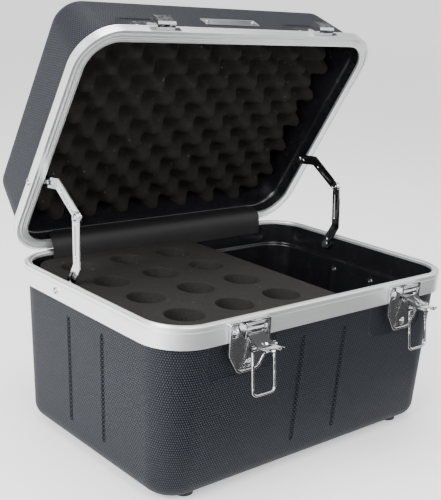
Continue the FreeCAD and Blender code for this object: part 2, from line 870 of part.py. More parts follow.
def make_frame_rivets():
    """The domed heads on the outside of the edge frames, opposite the stay studs."""
    for group, y, z in (
        ("base", "base_pivot_y", "base_pivot_z"),
        ("lid", "lid_pivot_y", "lid_pivot_z"),
    ):
        heads = []
        for side in SIDES.values():
            place = Vector(side * value("case_width / 2"), value(y), value(z))
            heads.append(dome(place, X_AXIS * side, 4, 1.4, 1, 0.01))
        finish(feature_of(Part.makeCompound(heads), "heads"), f"{group}_frame_rivets", group)


# ---------------------------------------------------------------- draw latches
FRONT = "-(case_depth / 2)"


def lever_points():
    """Pivots of a latch in case space: the lever's and, with the lever at rest, the bail's."""
    front = value(FRONT)
    pivot = Vector(0, front - value("lever_pivot_out"), value("lever_pivot_z"))
    hang = pivot - Z_AXIS * value("bail_pivot_drop")
    return pivot, turn_about(hang, pivot, -value("lever_rest"))


def latch_rivet_places(centre):
    face = value(FRONT) - value("plate_proud")
    for x, z in ((-19, -12), (19, -12), (0, -44)):
        yield Vector(centre + x, face, z)


def plate_outline(x, inset):
    """The latch plate's outline about the line x: square at the top and tapered below."""
    top, shoulder = f"-plate_top - {inset}", "-plate_shoulder"
    bottom = f"{inset} - plate_bottom"
    wide, narrow = f"(plate_half_top - {inset})", f"(plate_half_bottom - {inset})"
    return [
        (f"{x} - {wide}", top),
        (f"{x} - {wide}", shoulder),
        (f"{x} - {narrow}", bottom),
        (f"{x} + {narrow}", bottom),
        (f"{x} + {wide}", shoulder),
        (f"{x} + {wide}", top),
    ]


def make_latch_plate(label, centre):
    body = new_body("latch_plate")
    sketch = new_sketch(body, "XZ_Plane", "case_depth / 2")
    x = str(centre)
    add_outline(sketch, plate_outline(x, "0"))
    block = pad(body, sketch, "plate_proud")
    front = value(FRONT) - value("plate_proud")
    round_edges(
        body,
        block,
        lambda edge: abs(edge.BoundBox.YMax - front) < 1e-4 or edge.BoundBox.YLength > 1,
        "1.1",
    )
    inside = new_sketch(body, "XZ_Plane", "case_depth / 2")
    add_outline(inside, plate_outline(x, "sheet"))
    pocket(body, inside, "plate_proud - sheet", reverse=True)
    pieces = [body]
    face = "(-(case_depth / 2) - plate_proud)"
    out = "(-(case_depth / 2) - bracket_front)"
    for sign in (-1, 1):
        cheek_in, cheek_out = f"{x} + {sign} * (bracket_half - sheet)", f"{x} + {sign} * bracket_half"
        low_x, high_x = (cheek_in, cheek_out) if sign > 0 else (cheek_out, cheek_in)
        low = (low_x, out, "-bracket_bottom - cheek_drop")
        high = (high_x, f"{face} + seam", "-plate_top")
        pieces.append(box(low, high, "cheek"))
    low_x, high_x = f"{x} - bracket_half", f"{x} + bracket_half"
    front_high = (high_x, f"{out} + sheet", "-plate_top")
    pieces.append(box((low_x, out, "-bracket_bottom"), front_high, "front_wall"))
    roof_high = (high_x, f"{face} + seam", "-plate_top")
    pieces.append(box((low_x, out, "-plate_top - sheet"), roof_high, "roof"))
    roll_y = front - value("bracket_front - plate_proud - roll_inset")
    roll = Vector(centre - value("bracket_half"), roll_y, -value("plate_top - roll_inset"))
    pieces.append(rod(roll, X_AXIS, "roll_radius", "2 * bracket_half", "rolled_edge"))
    pivot, _ = lever_points()
    start = Vector(centre - value("bracket_half") - 1, pivot.y, pivot.z)
    bores = [rod(start, X_AXIS, "lever_pin_radius", "2 * bracket_half + 2", "pin_hole")]
    places = list(latch_rivet_places(centre))
    bores += drills(places, Y_AXIS * -1, 2)
    finish(cut(fuse(pieces), bores, label), label, "base")
    shank = value("plate_proud")
    return rivets(places, Y_AXIS * -1, shank, "2.8", "1").Solids


def make_lever(label, centre):
    """The lever: a barrel on its pin, a sheet with a curled tip and two cheeks for the bail pin.

    It is drawn hanging straight down and then turned out to its rest angle.
    """
    pivot, _ = lever_points()
    body = new_body("lever")
    sketch = new_sketch(body, "YZ_Plane", f"{centre} - lever_half")
    y0, z0 = pivot.y, pivot.z
    outline = [
        (-3.2, 0), (-3.2, -20), (-4.4, -25), (-7.4, -30), (-10.2, -31), (-9.6, -32.4),
        (-6.4, -31.6), (-2.9, -26), (-1.5, -20.5), (-1.5, 0),
    ]
    add_outline(sketch, [(str(y0 + y), str(z0 + z)) for y, z in outline])
    pad(body, sketch, "2 * lever_half")
    start = Vector(centre - value("lever_half"), y0, z0)
    pieces = [body, rod(start, X_AXIS, "lever_barrel", "2 * lever_half", "barrel")]
    hang = z0 - value("bail_pivot_drop")
    for sign in (-1, 1):
        inner, outer = sorted((sign * (value("lever_half") - 1.6), sign * value("lever_half")))
        low = (str(centre + inner), str(y0 - 2.5), str(hang - 3))
        high = (str(centre + outer), str(y0 + 1.2), str(hang + 3))
        pieces.append(box(low, high, "cheek"))
        start = Vector(centre + inner, y0, hang)
        pieces.append(rod(start, X_AXIS, "3", "1.6", "cheek_end"))
    start = Vector(centre - 20, y0, z0)
    bores = [rod(start, X_AXIS, "lever_pin_radius + pin_running", "40", "bore")]
    start = Vector(centre - 20, y0, hang)
    bores.append(rod(start, X_AXIS, "bail_pin_radius + pin_running", "40", "bore"))
    start = Vector(centre, y0 - 12, z0 - 23.5)
    bores.append(rod(start, Y_AXIS, "1.6", "24", "tip_hole"))
    item = cut(fuse(pieces), bores, label)
    item.Placement = Placement(Vector(), Rotation(X_AXIS, -value("lever_rest")), pivot)
    finish(item, label, "base")


def make_bail(label, centre):
    """The wire loop: two eyes, two legs, two round bends and the bar that takes the keeper."""
    _, pivot = lever_points()
    half, drop, bend = value("bail_half"), value("bail_length"), value("bail_bend")
    pieces, bores = [], []
    for sign in (-1, 1):
        x = centre + sign * half
        start = Vector(x - value("eye_half"), pivot.y, pivot.z)
        pieces.append(rod(start, X_AXIS, "eye_radius", "2 * eye_half", "eye"))
        top = Vector(x, pivot.y, pivot.z - value("eye_radius - leg_overlap"))
        length = "bail_length - bail_bend - eye_radius + leg_overlap"
        pieces.append(rod(top, Z_AXIS * -1, "bail_wire", length, "leg"))
        corner = doc.addObject("Part::Torus", "bend")
        bind(corner, Radius1="bail_bend", Radius2="bail_wire")
        corner.Angle3 = 90
        corner_at = Vector(x - sign * bend, pivot.y, pivot.z - drop + bend)
        corner.Placement = Placement(corner_at, Rotation(X_AXIS, Z_AXIS * -1, Y_AXIS, "XYZ") if sign > 0
                                     else Rotation(X_AXIS * -1, Z_AXIS * -1, Y_AXIS * -1, "XYZ"))
        pieces.append(corner)
    start = Vector(centre - half + bend, pivot.y, pivot.z - drop)
    pieces.append(rod(start, X_AXIS, "bail_wire", "2 * bail_half - 2 * bail_bend", "bar"))
    start = Vector(centre - 20, pivot.y, pivot.z)
    bores.append(rod(start, X_AXIS, "bail_pin_radius + pin_running", "40", "bore"))
    item = cut(fuse(pieces), bores, label)
    item.Placement = Placement(Vector(), Rotation(X_AXIS, -value("bail_rest")), pivot)
    finish(item, label, "base")


def make_latches():
    riveted = []
    for label, side in SIDES.items():
        centre = side * value("latch_x")
        riveted += make_latch_plate(f"latch_plate_{label}", centre)
        make_lever(f"latch_lever_{label}", centre)
        make_bail(f"latch_bail_{label}", centre)
        pivot, bail_pivot = lever_points()
        start = Vector(centre - value("bracket_half"), pivot.y, pivot.z)
        pin = rod(start, X_AXIS, "lever_pin_radius", "2 * bracket_half", "lever_pin")
        finish(pin, f"lever_pin_{label}", "base")
        reach = "(bail_half + eye_half + pin_end)"
        start = Vector(centre - value(reach), bail_pivot.y, bail_pivot.z)
        pin = rod(start, X_AXIS, "bail_pin_radius", f"2 * {reach}", "bail_pin")
        finish(pin, f"bail_pin_{label}", "base")
    finish(feature_of(Part.makeCompound(riveted), "latch_rivets"), "latch_rivets", "base")


# ---------------------------------------------------------------- lid front: keepers and badge
def make_keeper(label, centre):
    """The keeper: a foot on the edge frame, a ridged hook, and a wing plate on the shell."""
    body = new_body("keeper")
    sketch = new_sketch(body, "YZ_Plane", f"{centre} - hook_half")
    outline = [
        (0, 1.5), (1.3, 1.5), (1.3, 3.8), (6.4, 3.8), (8.6, 6.2), (8.6, 18.4), (6.9, 18.4),
        (6.9, 13.8), (3.1, 13.8), (3.1, 20), (-6.0, 20), (-6.0, 11.1), (0, 11.1),
    ]
    add_outline(sketch, [(f"{FRONT} - {out}", str(z)) for out, z in outline])
    pad(body, sketch, "2 * hook_half")
    for z in (8, 10.4, 12.8, 15.2):
        ridge = new_sketch(body, "YZ_Plane", f"{centre} - hook_half + 1.5")
        rectangle(ridge, f"{FRONT} - 9", f"{FRONT} - 8", str(z), str(z + 1.1))
        pocket(body, ridge, "2 * hook_half - 3", reverse=True)
    foot = box(
        (f"{centre} - 19", f"{FRONT} - 1.3", "1.5"), (f"{centre} + 19", FRONT, "6.5"), "foot"
    )
    place = wall_place("lid_inset", "lid_draft", LID_START, value("wing_foot"), "front", centre)
    wing = wall_block(place, "2 * wing_half", "0.2", "latch_recess_depth", "wing_height", "wing")
    wing_edges = doc.addObject("Part::Fillet", "round_wing")
    wing_edges.Base = wing
    doc.recompute()
    short = [
        i for i, edge in enumerate(wing.Shape.Edges, start=1)
        if edge.Length < 3
    ]
    wing_edges.Edges = [(i, 8.0, 8.0) for i in short]
    places = [place.multVec(Vector(sign * 19, -0.2, 11)) for sign in (-1, 1)]
    outward = place.Rotation.multVec(Y_AXIS * -1)
    bores = drills(places, outward, 1.9)
    finish(cut(fuse([body, foot, wing_edges]), bores, label), label, "lid")
    return rivets(places, outward, 1.7, "2.8", "0.9").Solids


def make_lid_front():
    riveted = []
    for label, side in SIDES.items():
        riveted += make_keeper(f"keeper_{label}", side * value("latch_x"))
    finish(feature_of(Part.makeCompound(riveted), "keeper_rivets"), "keeper_rivets", "lid")
    low = value("badge_centre - badge_height / 2")
    place = wall_place("lid_inset", "lid_draft", LID_START, low, "front", 0)
    plate = wall_block(place, "badge_width", "badge_thick", "0", "badge_height", "badge")
    rounded = doc.addObject("Part::Fillet", "round_badge")
    rounded.Base = plate
    doc.recompute()
    short = [i for i, edge in enumerate(plate.Shape.Edges, start=1) if edge.Length < 3]
    rounded.Edges = [(i, 2.5, 2.5) for i in short]
    outward = place.Rotation.multVec(Y_AXIS * -1)
    out = -value("badge_thick")
    places = [
        place.multVec(Vector(sign * 33, out, value("badge_height / 2"))) for sign in (-1, 1)
    ]
    finish(cut(rounded, drills(places, outward, value("badge_thick")), "badge"), "badge_plate", "lid")
    group = rivets(places, outward, value("badge_thick"), "2.4", "0.9")
    finish(feature_of(group, "badge_rivets"), "badge_rivets", "lid")


# ---------------------------------------------------------------- carry handle
def make_handle():
    top = value("lid_height")
    pivot_z = top + value("handle_rise")
    pivot_y = value("handle_pivot_y")
    half, reach, bend = value("handle_half"), value("handle_reach"), value("handle_bend")
    pieces, brackets, bores, places = [], [], [], []
    for sign in (-1, 1):
        x = sign * half
        inward = X_AXIS * -sign
        pivot = Vector(x + sign * 9, pivot_y, pivot_z)
        pieces.append(rod(pivot, inward, "handle_wire", "9", "pivot_end"))
        pieces.append(rod(Vector(x, pivot_y, pivot_z), Y_AXIS, "handle_wire", str(reach - bend), "leg"))
        knob = doc.addObject("Part::Sphere", "elbow")
        bind(knob, Radius="handle_wire")
        knob.Placement = Placement(Vector(x, pivot_y, pivot_z), Rotation())
        pieces.append(knob)
        corner = doc.addObject("Part::Torus", "bend")
        bind(corner, Radius1="handle_bend", Radius2="handle_wire")
        corner.Angle3 = 90
        spin = 0 if sign > 0 else 90
        at = Vector(x - sign * bend, pivot_y + reach - bend, pivot_z)
        corner.Placement = Placement(at, Rotation(Z_AXIS, spin))
        pieces.append(corner)
        low_x, high_x = sorted((x + sign * 4.5, x + sign * 8))
        brackets.append(box(
            (str(low_x), "handle_pivot_y - 6", "lid_height"),
            (str(high_x), "handle_pivot_y + 6", "lid_height + handle_rise + 5"), "ear"))
        low_x, high_x = sorted((x + sign * 4.5, x + sign * 26))
        brackets.append(box(
            (str(low_x), "handle_pivot_y - 14", "lid_height"),
            (str(high_x), "handle_pivot_y + 14", "lid_height + bracket_plate"), "plate"))
        bores.append(rod(Vector(x - sign * 5, pivot_y, pivot_z), X_AXIS * sign,
                         "handle_wire + 0.08", "20", "bore"))
        for y in (-8, 8):
            places.append(Vector(x + sign * 18, pivot_y + y, top + value("bracket_plate")))
    span = f"{2 * (half - bend)}"
    bar_at = Vector(-half + bend, pivot_y + reach, pivot_z)
    pieces.append(rod(bar_at, X_AXIS, "handle_wire", span, "bar"))
    finish(fuse(pieces, "handle_bail"), "handle_bail", "lid")

    grip = rod(Vector(-value("grip_half"), pivot_y + reach, pivot_z), X_AXIS,
               "grip_radius", "2 * grip_half", "grip")
    bore = rod(Vector(-value("grip_half") - 1, pivot_y + reach, pivot_z), X_AXIS,
               "handle_wire + pin_running", "2 * grip_half + 2", "grip_bore")
    finish(cut(grip, [bore], "handle_grip"), "handle_grip", "lid")
    bores += drills(places, Z_AXIS, value("bracket_plate") + 0.2)
    item = cut(fuse(brackets), bores, "brackets")
    finish(item, "handle_brackets", "lid")
    group = rivets(places, Z_AXIS, value("bracket_plate"))
    finish(feature_of(group, "handle_rivets"), "handle_rivets", "lid")


# ---------------------------------------------------------------- build, check, write
make_base_shell()
make_base_frame()
make_foam()
make_feet()
make_hinge()
make_hinge_cover()
make_lid_shell()
make_lid_frame()
make_lid_foam()
make_stays()
make_frame_rivets()
make_latches()
make_lid_front()
make_handle()
doc.recompute()

failed = [item.Name for item in doc.Objects if "Invalid" in item.State or "Error" in item.State]
if failed:
    raise RuntimeError(f"failed objects: {failed}")
os.makedirs("parts", exist_ok=True)
for label, item in nodes.items():
    if item.Shape.isNull() or not item.Shape.isValid():
        raise RuntimeError(f"{label} has no valid shape")
    item.Shape.exportStep(f"parts/{label}.step")
print(f"{len(nodes)} sub-parts written")
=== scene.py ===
"""The open carry case, dressed on its CAD frame.

Lengths are in metres.  Case space has z = 0 at the top of the base rim, x = y = 0 in the middle
of the base and the lid shut; lid pieces are drawn there and then swung open about the hinge.
"""
import bmesh
import bpy
import json
import math
from mathutils import Matrix, Vector


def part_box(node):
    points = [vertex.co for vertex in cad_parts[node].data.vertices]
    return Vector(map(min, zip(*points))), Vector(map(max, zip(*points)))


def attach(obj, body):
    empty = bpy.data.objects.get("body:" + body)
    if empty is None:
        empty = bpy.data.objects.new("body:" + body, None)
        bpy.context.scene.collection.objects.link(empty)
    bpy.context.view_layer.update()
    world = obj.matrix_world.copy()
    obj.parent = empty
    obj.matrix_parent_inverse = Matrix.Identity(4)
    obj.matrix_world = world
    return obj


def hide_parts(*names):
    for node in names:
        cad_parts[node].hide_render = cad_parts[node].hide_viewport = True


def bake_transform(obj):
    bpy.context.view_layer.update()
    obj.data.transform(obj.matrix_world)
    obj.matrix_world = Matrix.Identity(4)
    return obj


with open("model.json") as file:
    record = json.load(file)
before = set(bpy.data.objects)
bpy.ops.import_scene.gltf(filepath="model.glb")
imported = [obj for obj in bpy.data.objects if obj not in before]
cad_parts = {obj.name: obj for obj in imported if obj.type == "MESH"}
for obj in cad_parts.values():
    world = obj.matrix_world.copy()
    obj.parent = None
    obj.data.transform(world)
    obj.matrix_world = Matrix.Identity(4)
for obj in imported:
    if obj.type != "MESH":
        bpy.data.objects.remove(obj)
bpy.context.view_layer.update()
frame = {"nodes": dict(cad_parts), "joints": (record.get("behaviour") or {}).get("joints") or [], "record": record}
nodes = frame["nodes"]
MM = 0.001

# ---- sizes
frame_low, frame_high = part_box("base_edge_frame")
joints = {joint["name"]: joint for joint in frame["joints"]}
SIDES = {"left": -1, "right": 1}
WIDTH = frame_high.x - frame_low.x
DEPTH = frame_high.y - frame_low.y
CORNER = 46 * MM
WALL = 3 * MM
# the base frame's tongue stands this far above its rim
TONGUE = 2 * MM
CENTRE_Y = (frame_low.y + frame_high.y) / 2
RIM_Z = frame_high.z - TONGUE
CASE = Matrix.Translation((0, CENTRE_Y, RIM_Z))
# each moulding: where its walls start and end, how far in and how steep they are, its floor's edge
BASE_START, BASE_FLOOR = -2.9 * MM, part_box("base_shell")[0].z - RIM_Z
BASE_INSET, BASE_DRAFT, BASE_EDGE = 4.4 * MM, math.radians(3.15), 17 * MM
LID_START, LID_TOP = 3.6 * MM, 88 * MM
LID_INSET, LID_DRAFT, LID_EDGE = 4.9 * MM, math.radians(9.4), 15 * MM
# how finely the mouldings are divided
OUTER_STEP, INNER_STEP, ARC_STEPS = 4.5 * MM, 6 * MM, 18
# two upright grooves on each wall of the base, with ribs behind them
GROOVE_AT, GROOVE_HALF, GROOVE_DEPTH = 31 * MM, 2.4 * MM, 2.2 * MM
GROOVE_TOP, GROOVE_END = -36 * MM, -155 * MM
RIB_HALF, RIB_RISE, RIB_TOP = 3.4 * MM, 3.2 * MM, GROOVE_TOP - 4 * MM
# shallow recesses round the latches and the keepers
LATCH_AT = joints["lever_swing_right"]["pos_m"][0]
LATCH_RECESS_HALF, LATCH_RECESS_END = 43 * MM, -60 * MM
KEEPER_RECESS_HALF, KEEPER_RECESS_END = 42 * MM, 40 * MM
RECESS_DEPTH = 1.5 * MM
# the ledge inside each moulding
BASE_LEDGE, BASE_LEDGE_STEP = -28 * MM, 2.2 * MM
LID_LEDGE, LID_LEDGE_STEP = 17 * MM, 0.8 * MM
# the camera: its turn, its place in case space, its lens in mm and its shift
VIEW_AZIMUTH, VIEW_ELEVATION, VIEW_ROLL = (math.radians(a) for a in (41.15, 14.68, 3.45))
VIEW_SPOT, VIEW_LENS, VIEW_SHIFT = (-0.6909, -0.7558, 0.2875), 67.14, (0.0035, -0.0077)

def swing(joint, degrees):
    """The turn of a joint's child by so many degrees from rest."""
    point = Vector(joints[joint]["pos_m"])
    turn = Matrix.Rotation(math.radians(degrees), 4, Vector(joints[joint]["axis"]))
    return Matrix.Translation(point) @ turn @ Matrix.Translation(-point)


OPEN_ANGLE = joints["lid_hinge"]["range_deg"][1]
LID = swing("lid_hinge", -OPEN_ANGLE) @ CASE


# ---- node materials
class Paint:
    """A material whose nodes are added by short calls."""

    def __init__(self, name):
        self.material = bpy.data.materials.new(name)
        self.material.use_nodes = True
        self.tree = self.material.node_tree
        self.shader = self.tree.nodes["Principled BSDF"]

    def set(self, **values):
        for name, value in values.items():
            self.shader.inputs[name.replace("_", " ")].default_value = value
        return self

    def add(self, kind, inputs=None, **settings):
        node = self.tree.nodes.new(kind)
        for name, value in settings.items():
            setattr(node, name, value)
        for key, value in (inputs or {}).items():
            if isinstance(value, bpy.types.NodeSocket):
                self.tree.links.new(value, node.inputs[key])
            else:
                node.inputs[key].default_value = value
        return node

    def link(self, socket, name):
        self.tree.links.new(socket, self.shader.inputs[name])

    def coordinates(self, output="Object", scale=(1, 1, 1)):
        source = self.add("ShaderNodeTexCoord").outputs[output]
        mapping = self.add("ShaderNodeMapping", {"Vector": source, "Scale": scale})
        return mapping.outputs["Vector"]

    def noise(self, scale, detail=3.0, roughness=0.5, vector=None):
        inputs = {"Scale": scale, "Detail": detail, "Roughness": roughness}
        inputs["Vector"] = vector or self.coordinates()
        return self.add("ShaderNodeTexNoise", inputs).outputs["Fac"]

    def remap(self, value, low, high, to_low, to_high):
        inputs = {"Value": value, "From Min": low, "From Max": high}
        inputs.update({"To Min": to_low, "To Max": to_high})
        return self.add("ShaderNodeMapRange", inputs).outputs["Result"]

    def math(self, operation, a, b=0.0):
        return self.add("ShaderNodeMath", {0: a, 1: b}, operation=operation).outputs[0]

    def mix(self, factor, a, b):
        node = self.add("ShaderNodeMix", data_type="RGBA")
        for index, value in ((0, factor), (6, a), (7, b)):
            if isinstance(value, bpy.types.NodeSocket):
                self.tree.links.new(value, node.inputs[index])
            else:
                node.inputs[index].default_value = value
        return node.outputs[2]

    def bump(self, height, distance, strength=1.0, normal=None):
        inputs = {"Height": height, "Distance": distance, "Strength": strength}
        if normal is not None:
            inputs["Normal"] = normal
        return self.add("ShaderNodeBump", inputs).outputs["Normal"]


def grey(level, blue=1.0, red=1.0):
    return (level * red, level, level * blue, 1)


def shell_material():
    """Embossed moulding: small hexagonal scales in rows, with shade painted near black into the joints between
    them.
    """
    paint = Paint("embossed_shell").set(Roughness=0.5, Specular_IOR_Level=0.3)
    pitch = 2.9 * MM
    wave = 2 * math.pi / (pitch * math.sin(math.radians(60)))
    place = paint.coordinates("UV")
    waves = []
    for angle in (90, 210, 330):
        way = (wave * math.cos(math.radians(angle)), wave * math.sin(math.radians(angle)), 0)
        dot = paint.add("ShaderNodeVectorMath", {0: place, 1: way}, operation="DOT_PRODUCT")
        waves.append(paint.math("COSINE", dot.outputs["Value"]))
    total = paint.math("ADD", paint.math("ADD", waves[0], waves[1]), waves[2])
    scales = paint.remap(total, -0.35, 1.4, 0, 1)
    grain = paint.noise(900, 2)
    cloud = paint.noise(9, 3)
    face = paint.mix(cloud, grey(0.028, 1.6, 0.7), grey(0.04, 1.55, 0.74))
    # painted shade: the sunk joints between the scales are near black, as shade in the pits
    colour = paint.mix(scales, grey(0.001, 1.3, 0.9), face)
    paint.link(colour, "Base Color")
    paint.link(paint.remap(grain, 0.3, 0.7, 0.5, 0.64), "Roughness")
    rough = paint.bump(grain, 0.00006, 0.5)
    paint.link(paint.bump(scales, 0.0009, 1.0, rough), "Normal")
    return paint.material


def gloss_material():
    """The smooth inside of the mouldings."""
    paint = Paint("gloss_moulding").set(Roughness=0.22, Coat_Weight=0.25, Coat_Roughness=0.12)
    drift = paint.noise(14, 3)
    paint.link(paint.mix(drift, grey(0.004, 1.15), grey(0.009, 1.2)), "Base Color")
    fine = paint.noise(420, 3)
    paint.link(paint.remap(paint.noise(60, 4), 0.3, 0.7, 0.17, 0.3), "Roughness")
    paint.link(paint.bump(fine, 0.00004, 0.4), "Normal")
    return paint.material


def aluminium_material():
    """Satin anodised extrusion with fine lines along its length."""
    paint = Paint("satin_aluminium").set(Metallic=0.85, Roughness=0.34, IOR=1.5)
    streak = paint.noise(1.0, 4, 0.6, paint.coordinates(scale=(14, 14, 2600)))
    cloud = paint.noise(22, 3)
    base = paint.mix(cloud, (0.89, 0.895, 0.9, 1), (0.95, 0.955, 0.96, 1))
    colour = paint.mix(paint.remap(streak, 0.35, 0.65, 0, 0.5), base, (0.7, 0.705, 0.71, 1))
    paint.link(colour, "Base Color")
    paint.link(paint.remap(streak, 0.3, 0.7, 0.3, 0.44), "Roughness")
    paint.link(paint.bump(streak, 0.00003, 0.35), "Normal")
    return paint.material


def foam_material(name, dark, light):
    """Open-cell foam: matte, full of small pits painted darker as shade, with a few paler flecks of dust."""
    paint = Paint(name).set(Roughness=1.0, Specular_IOR_Level=0.12)
    cells = paint.add(
        "ShaderNodeTexVoronoi", {"Vector": paint.coordinates(), "Scale": 760.0}
    ).outputs["Distance"]
    cloud = paint.noise(28, 4)
    fine = paint.noise(1300, 2)
    body = paint.mix(cloud, grey(dark, 0.93, 1.08), grey(light, 0.92, 1.09))
    # painted shade: the low borders of the cells are darkened, as shade in the pits
    shaded_pits = paint.mix(paint.remap(cells, 0.15, 0.75, 0, 0.55), body, grey(dark * 0.35))
    dust = paint.remap(paint.noise(240, 1), 0.75, 0.775, 0, 0.35)
    paint.link(paint.mix(dust, shaded_pits, grey(0.2)), "Base Color")
    height = paint.math("ADD", paint.math("MULTIPLY", cells, -0.8), fine)
    paint.link(paint.bump(height, 0.0005, 0.7), "Normal")
    return paint.material


def metal_material(name, colour, roughness, spread=0.05):
    """Plated steel with faint smudges and fine polish marks."""
    paint = Paint(name).set(Metallic=1.0)
    smudge = paint.noise(45, 4)
    paint.link(paint.mix(smudge, colour, tuple(0.9 * c for c in colour[:3]) + (1,)), "Base Color")
    paint.link(paint.remap(smudge, 0.3, 0.7, roughness, roughness + spread), "Roughness")
    waves = paint.bump(paint.noise(75, 2), 0.0007, 1.0)
    paint.link(paint.bump(paint.noise(520, 2), 0.00002, 0.25, waves), "Normal")
    return paint.material


def soft_material(name, level, roughness, scale=380, depth=0.00012):
    """Rubber and vinyl: nearly black, with a low grain."""
    paint = Paint(name).set(Roughness=roughness)
    cloud = paint.noise(30, 3)
    paint.link(paint.mix(cloud, grey(level, 1.08), grey(level * 1.5, 1.08)), "Base Color")
    grain = paint.noise(scale, 3)
    paint.link(paint.remap(grain, 0.3, 0.7, roughness - 0.06, roughness + 0.08), "Roughness")
    paint.link(paint.bump(grain, depth, 0.5), "Normal")
    return paint.material


def floor_material():
    paint = Paint("studio_floor").set(Roughness=0.9, Emission_Strength=0.45)
    paint.set(Emission_Color=(1, 1, 1, 1))
    shade = paint.noise(3, 2)
    paint.link(paint.mix(shade, (0.90, 0.90, 0.90, 1), (0.93, 0.93, 0.93, 1)), "Base Color")
    return paint.material


MATERIALS = {
    "shell": shell_material(),
    "gloss": gloss_material(),
    "aluminium": aluminium_material(),
    "foam": foam_material("pocket_foam", 0.022, 0.031),
    "crate": foam_material("convoluted_foam", 0.012, 0.022),
    "chrome": metal_material("bright_chrome", (0.72, 0.725, 0.74, 1), 0.08),
    "zinc": metal_material("zinc_plate", (0.42, 0.42, 0.44, 1), 0.3, 0.1),
    # painted shade: a near-black metal for the rivets' sunk rings, where shade falls
    "ring_shade": metal_material("painted_ring_shade", (0.05, 0.05, 0.055, 1), 0.5),
    "badge": metal_material("brushed_badge", (0.52, 0.53, 0.54, 1), 0.28, 0.08),
    "rubber": soft_material("foot_rubber", 0.012, 0.7),
    "cover": soft_material("hinge_cover_vinyl", 0.003, 0.58, 700, 0.00005),
    "grip": soft_material("grip_vinyl", 0.014, 0.5),
}


# ---- mesh helpers
def keep_piece(mesh, name, materials, body, place=None, smooth=40):
    """Links a mesh as a piece that rides on a body."""
    item = bpy.data.objects.new(name, mesh)
    bpy.context.scene.collection.objects.link(item)
    for key in materials:
        mesh.materials.append(MATERIALS[key])
    if place is not None:
        mesh.transform(place)
    mesh.shade_smooth()
    mesh.set_sharp_from_angle(angle=math.radians(smooth))
    if body:
        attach(item, body)
    return item


def to_mesh(bm, name):
    mesh = bpy.data.meshes.new(name)
    bmesh.ops.recalc_face_normals(bm, faces=bm.faces)
    bm.to_mesh(mesh)
    bm.free()
    return mesh


def soften(item, width):
    """Rounds the hard edges of a CAD node."""
    bevel = item.modifiers.new("rounded", "BEVEL")
    bevel.width = width
    bevel.segments = 2
    bevel.limit_method = "ANGLE"
    bevel.angle_limit = math.radians(40)
    bevel.harden_normals = True


def round_corners(points, radii, steps=8):
    """The closed outline through 2-D points with a tangent arc at each corner."""
    outline = []
    count = len(points)
    for i, point in enumerate(points):
        here = Vector(point)
        back = (Vector(points[i - 1]) - here).normalized()
        ahead = (Vector(points[(i + 1) % count]) - here).normalized()
        radius = radii[i] if isinstance(radii, (list, tuple)) else radii
        half = math.acos(max(-1, min(1, back.dot(ahead)))) / 2
        if radius <= 0 or abs(half - math.pi / 2) < 1e-4:
            outline.append(here)
            continue
        middle = (back + ahead).normalized()
        centre = here + middle * (radius / math.sin(half))
        start = here + back * (radius / math.tan(half)) - centre
        stop = here + ahead * (radius / math.tan(half)) - centre
        sweep = start.angle_signed(stop)
        for k in range(steps + 1):
            turn = Matrix.Rotation(-sweep * k / steps, 2)
            outline.append(centre + turn @ start)
    return outline


def circle(centre, radius, steps=48):
    return [
        Vector(centre) + Vector((math.cos(t), math.sin(t))) * radius
        for t in (2 * math.pi * k / steps for k in range(steps))
    ]


def plate_mesh(name, outlines, thickness, edge, segments=3):
    """A plate in the XY plane from z = 0 up, with holes and rounded edges."""
    curve = bpy.data.curves.new(name, "CURVE")
    curve.dimensions = "2D"
    curve.fill_mode = "BOTH"
    curve.extrude = thickness / 2 - edge
    curve.bevel_depth = edge
    curve.bevel_resolution = segments
    curve.offset = -edge
    for outline in outlines:
        spline = curve.splines.new("POLY")
        spline.points.add(len(outline) - 1)
        for point, place in zip(spline.points, outline):
            point.co = (place[0], place[1], 0, 1)
        spline.use_cyclic_u = True
    holder = bpy.data.objects.new(name, curve)
    bpy.context.scene.collection.objects.link(holder)
    depsgraph = bpy.context.evaluated_depsgraph_get()
    mesh = bpy.data.meshes.new_from_object(holder.evaluated_get(depsgraph))
    bpy.data.objects.remove(holder)
    mesh.transform(Matrix.Translation((0, 0, thickness / 2)))
    bm = bmesh.new()
    bm.from_mesh(mesh)
    bmesh.ops.remove_doubles(bm, verts=bm.verts, dist=1e-6)
    bmesh.ops.recalc_face_normals(bm, faces=bm.faces)
    bm.to_mesh(mesh)
    bm.free()
    return mesh


def lathe_mesh(name, profile, steps=48):
    """A turned piece about Z from (radius, height) points; its ends close on the axis."""
    bm = bmesh.new()
    rings = []
    for radius, height in profile:
        if radius < 1e-7:
            rings.append([bm.verts.new((0, 0, height))])
            continue
        ring = circle((0, 0), radius, steps)
        rings.append([bm.verts.new((spot.x, spot.y, height)) for spot in ring])
    for low, high in zip(rings, rings[1:]):
        for k in range(steps):
            after = (k + 1) % steps
            corner = [low[k % len(low)], low[after % len(low)]]
            corner += [high[after % len(high)], high[k % len(high)]]
            face = list(dict.fromkeys(corner))
            if len(face) > 2:
                bm.faces.new(face)
    return to_mesh(bm, name)


def joined(meshes, name):
    """One mesh from several, each with its own place already in it."""
    bm = bmesh.new()
    for mesh in meshes:
        bm.from_mesh(mesh)
    mesh = bpy.data.meshes.new(name)
    bm.to_mesh(mesh)
    bm.free()
    return mesh


def close_skins(bm, front, back):
    """Faces over two matching grids of vertices, and round their four edges."""
    last, columns = len(front) - 1, len(front[0]) - 1
    for skin in (front, back):
        for low, high in zip(skin, skin[1:]):
            for k in range(columns):
                bm.faces.new((low[k], low[k + 1], high[k + 1], high[k]))
    for end in (0, last):
        for k in range(columns):
            bm.faces.new((front[end][k], front[end][k + 1], back[end][k + 1], back[end][k]))
    for r in range(last):
        for k in (0, columns):
            bm.faces.new((front[r][k], front[r + 1][k], back[r + 1][k], back[r][k]))

# ---- moulded shells
def smooth_step(value):
    value = max(0.0, min(1.0, value))
    return value * value * (3 - 2 * value)


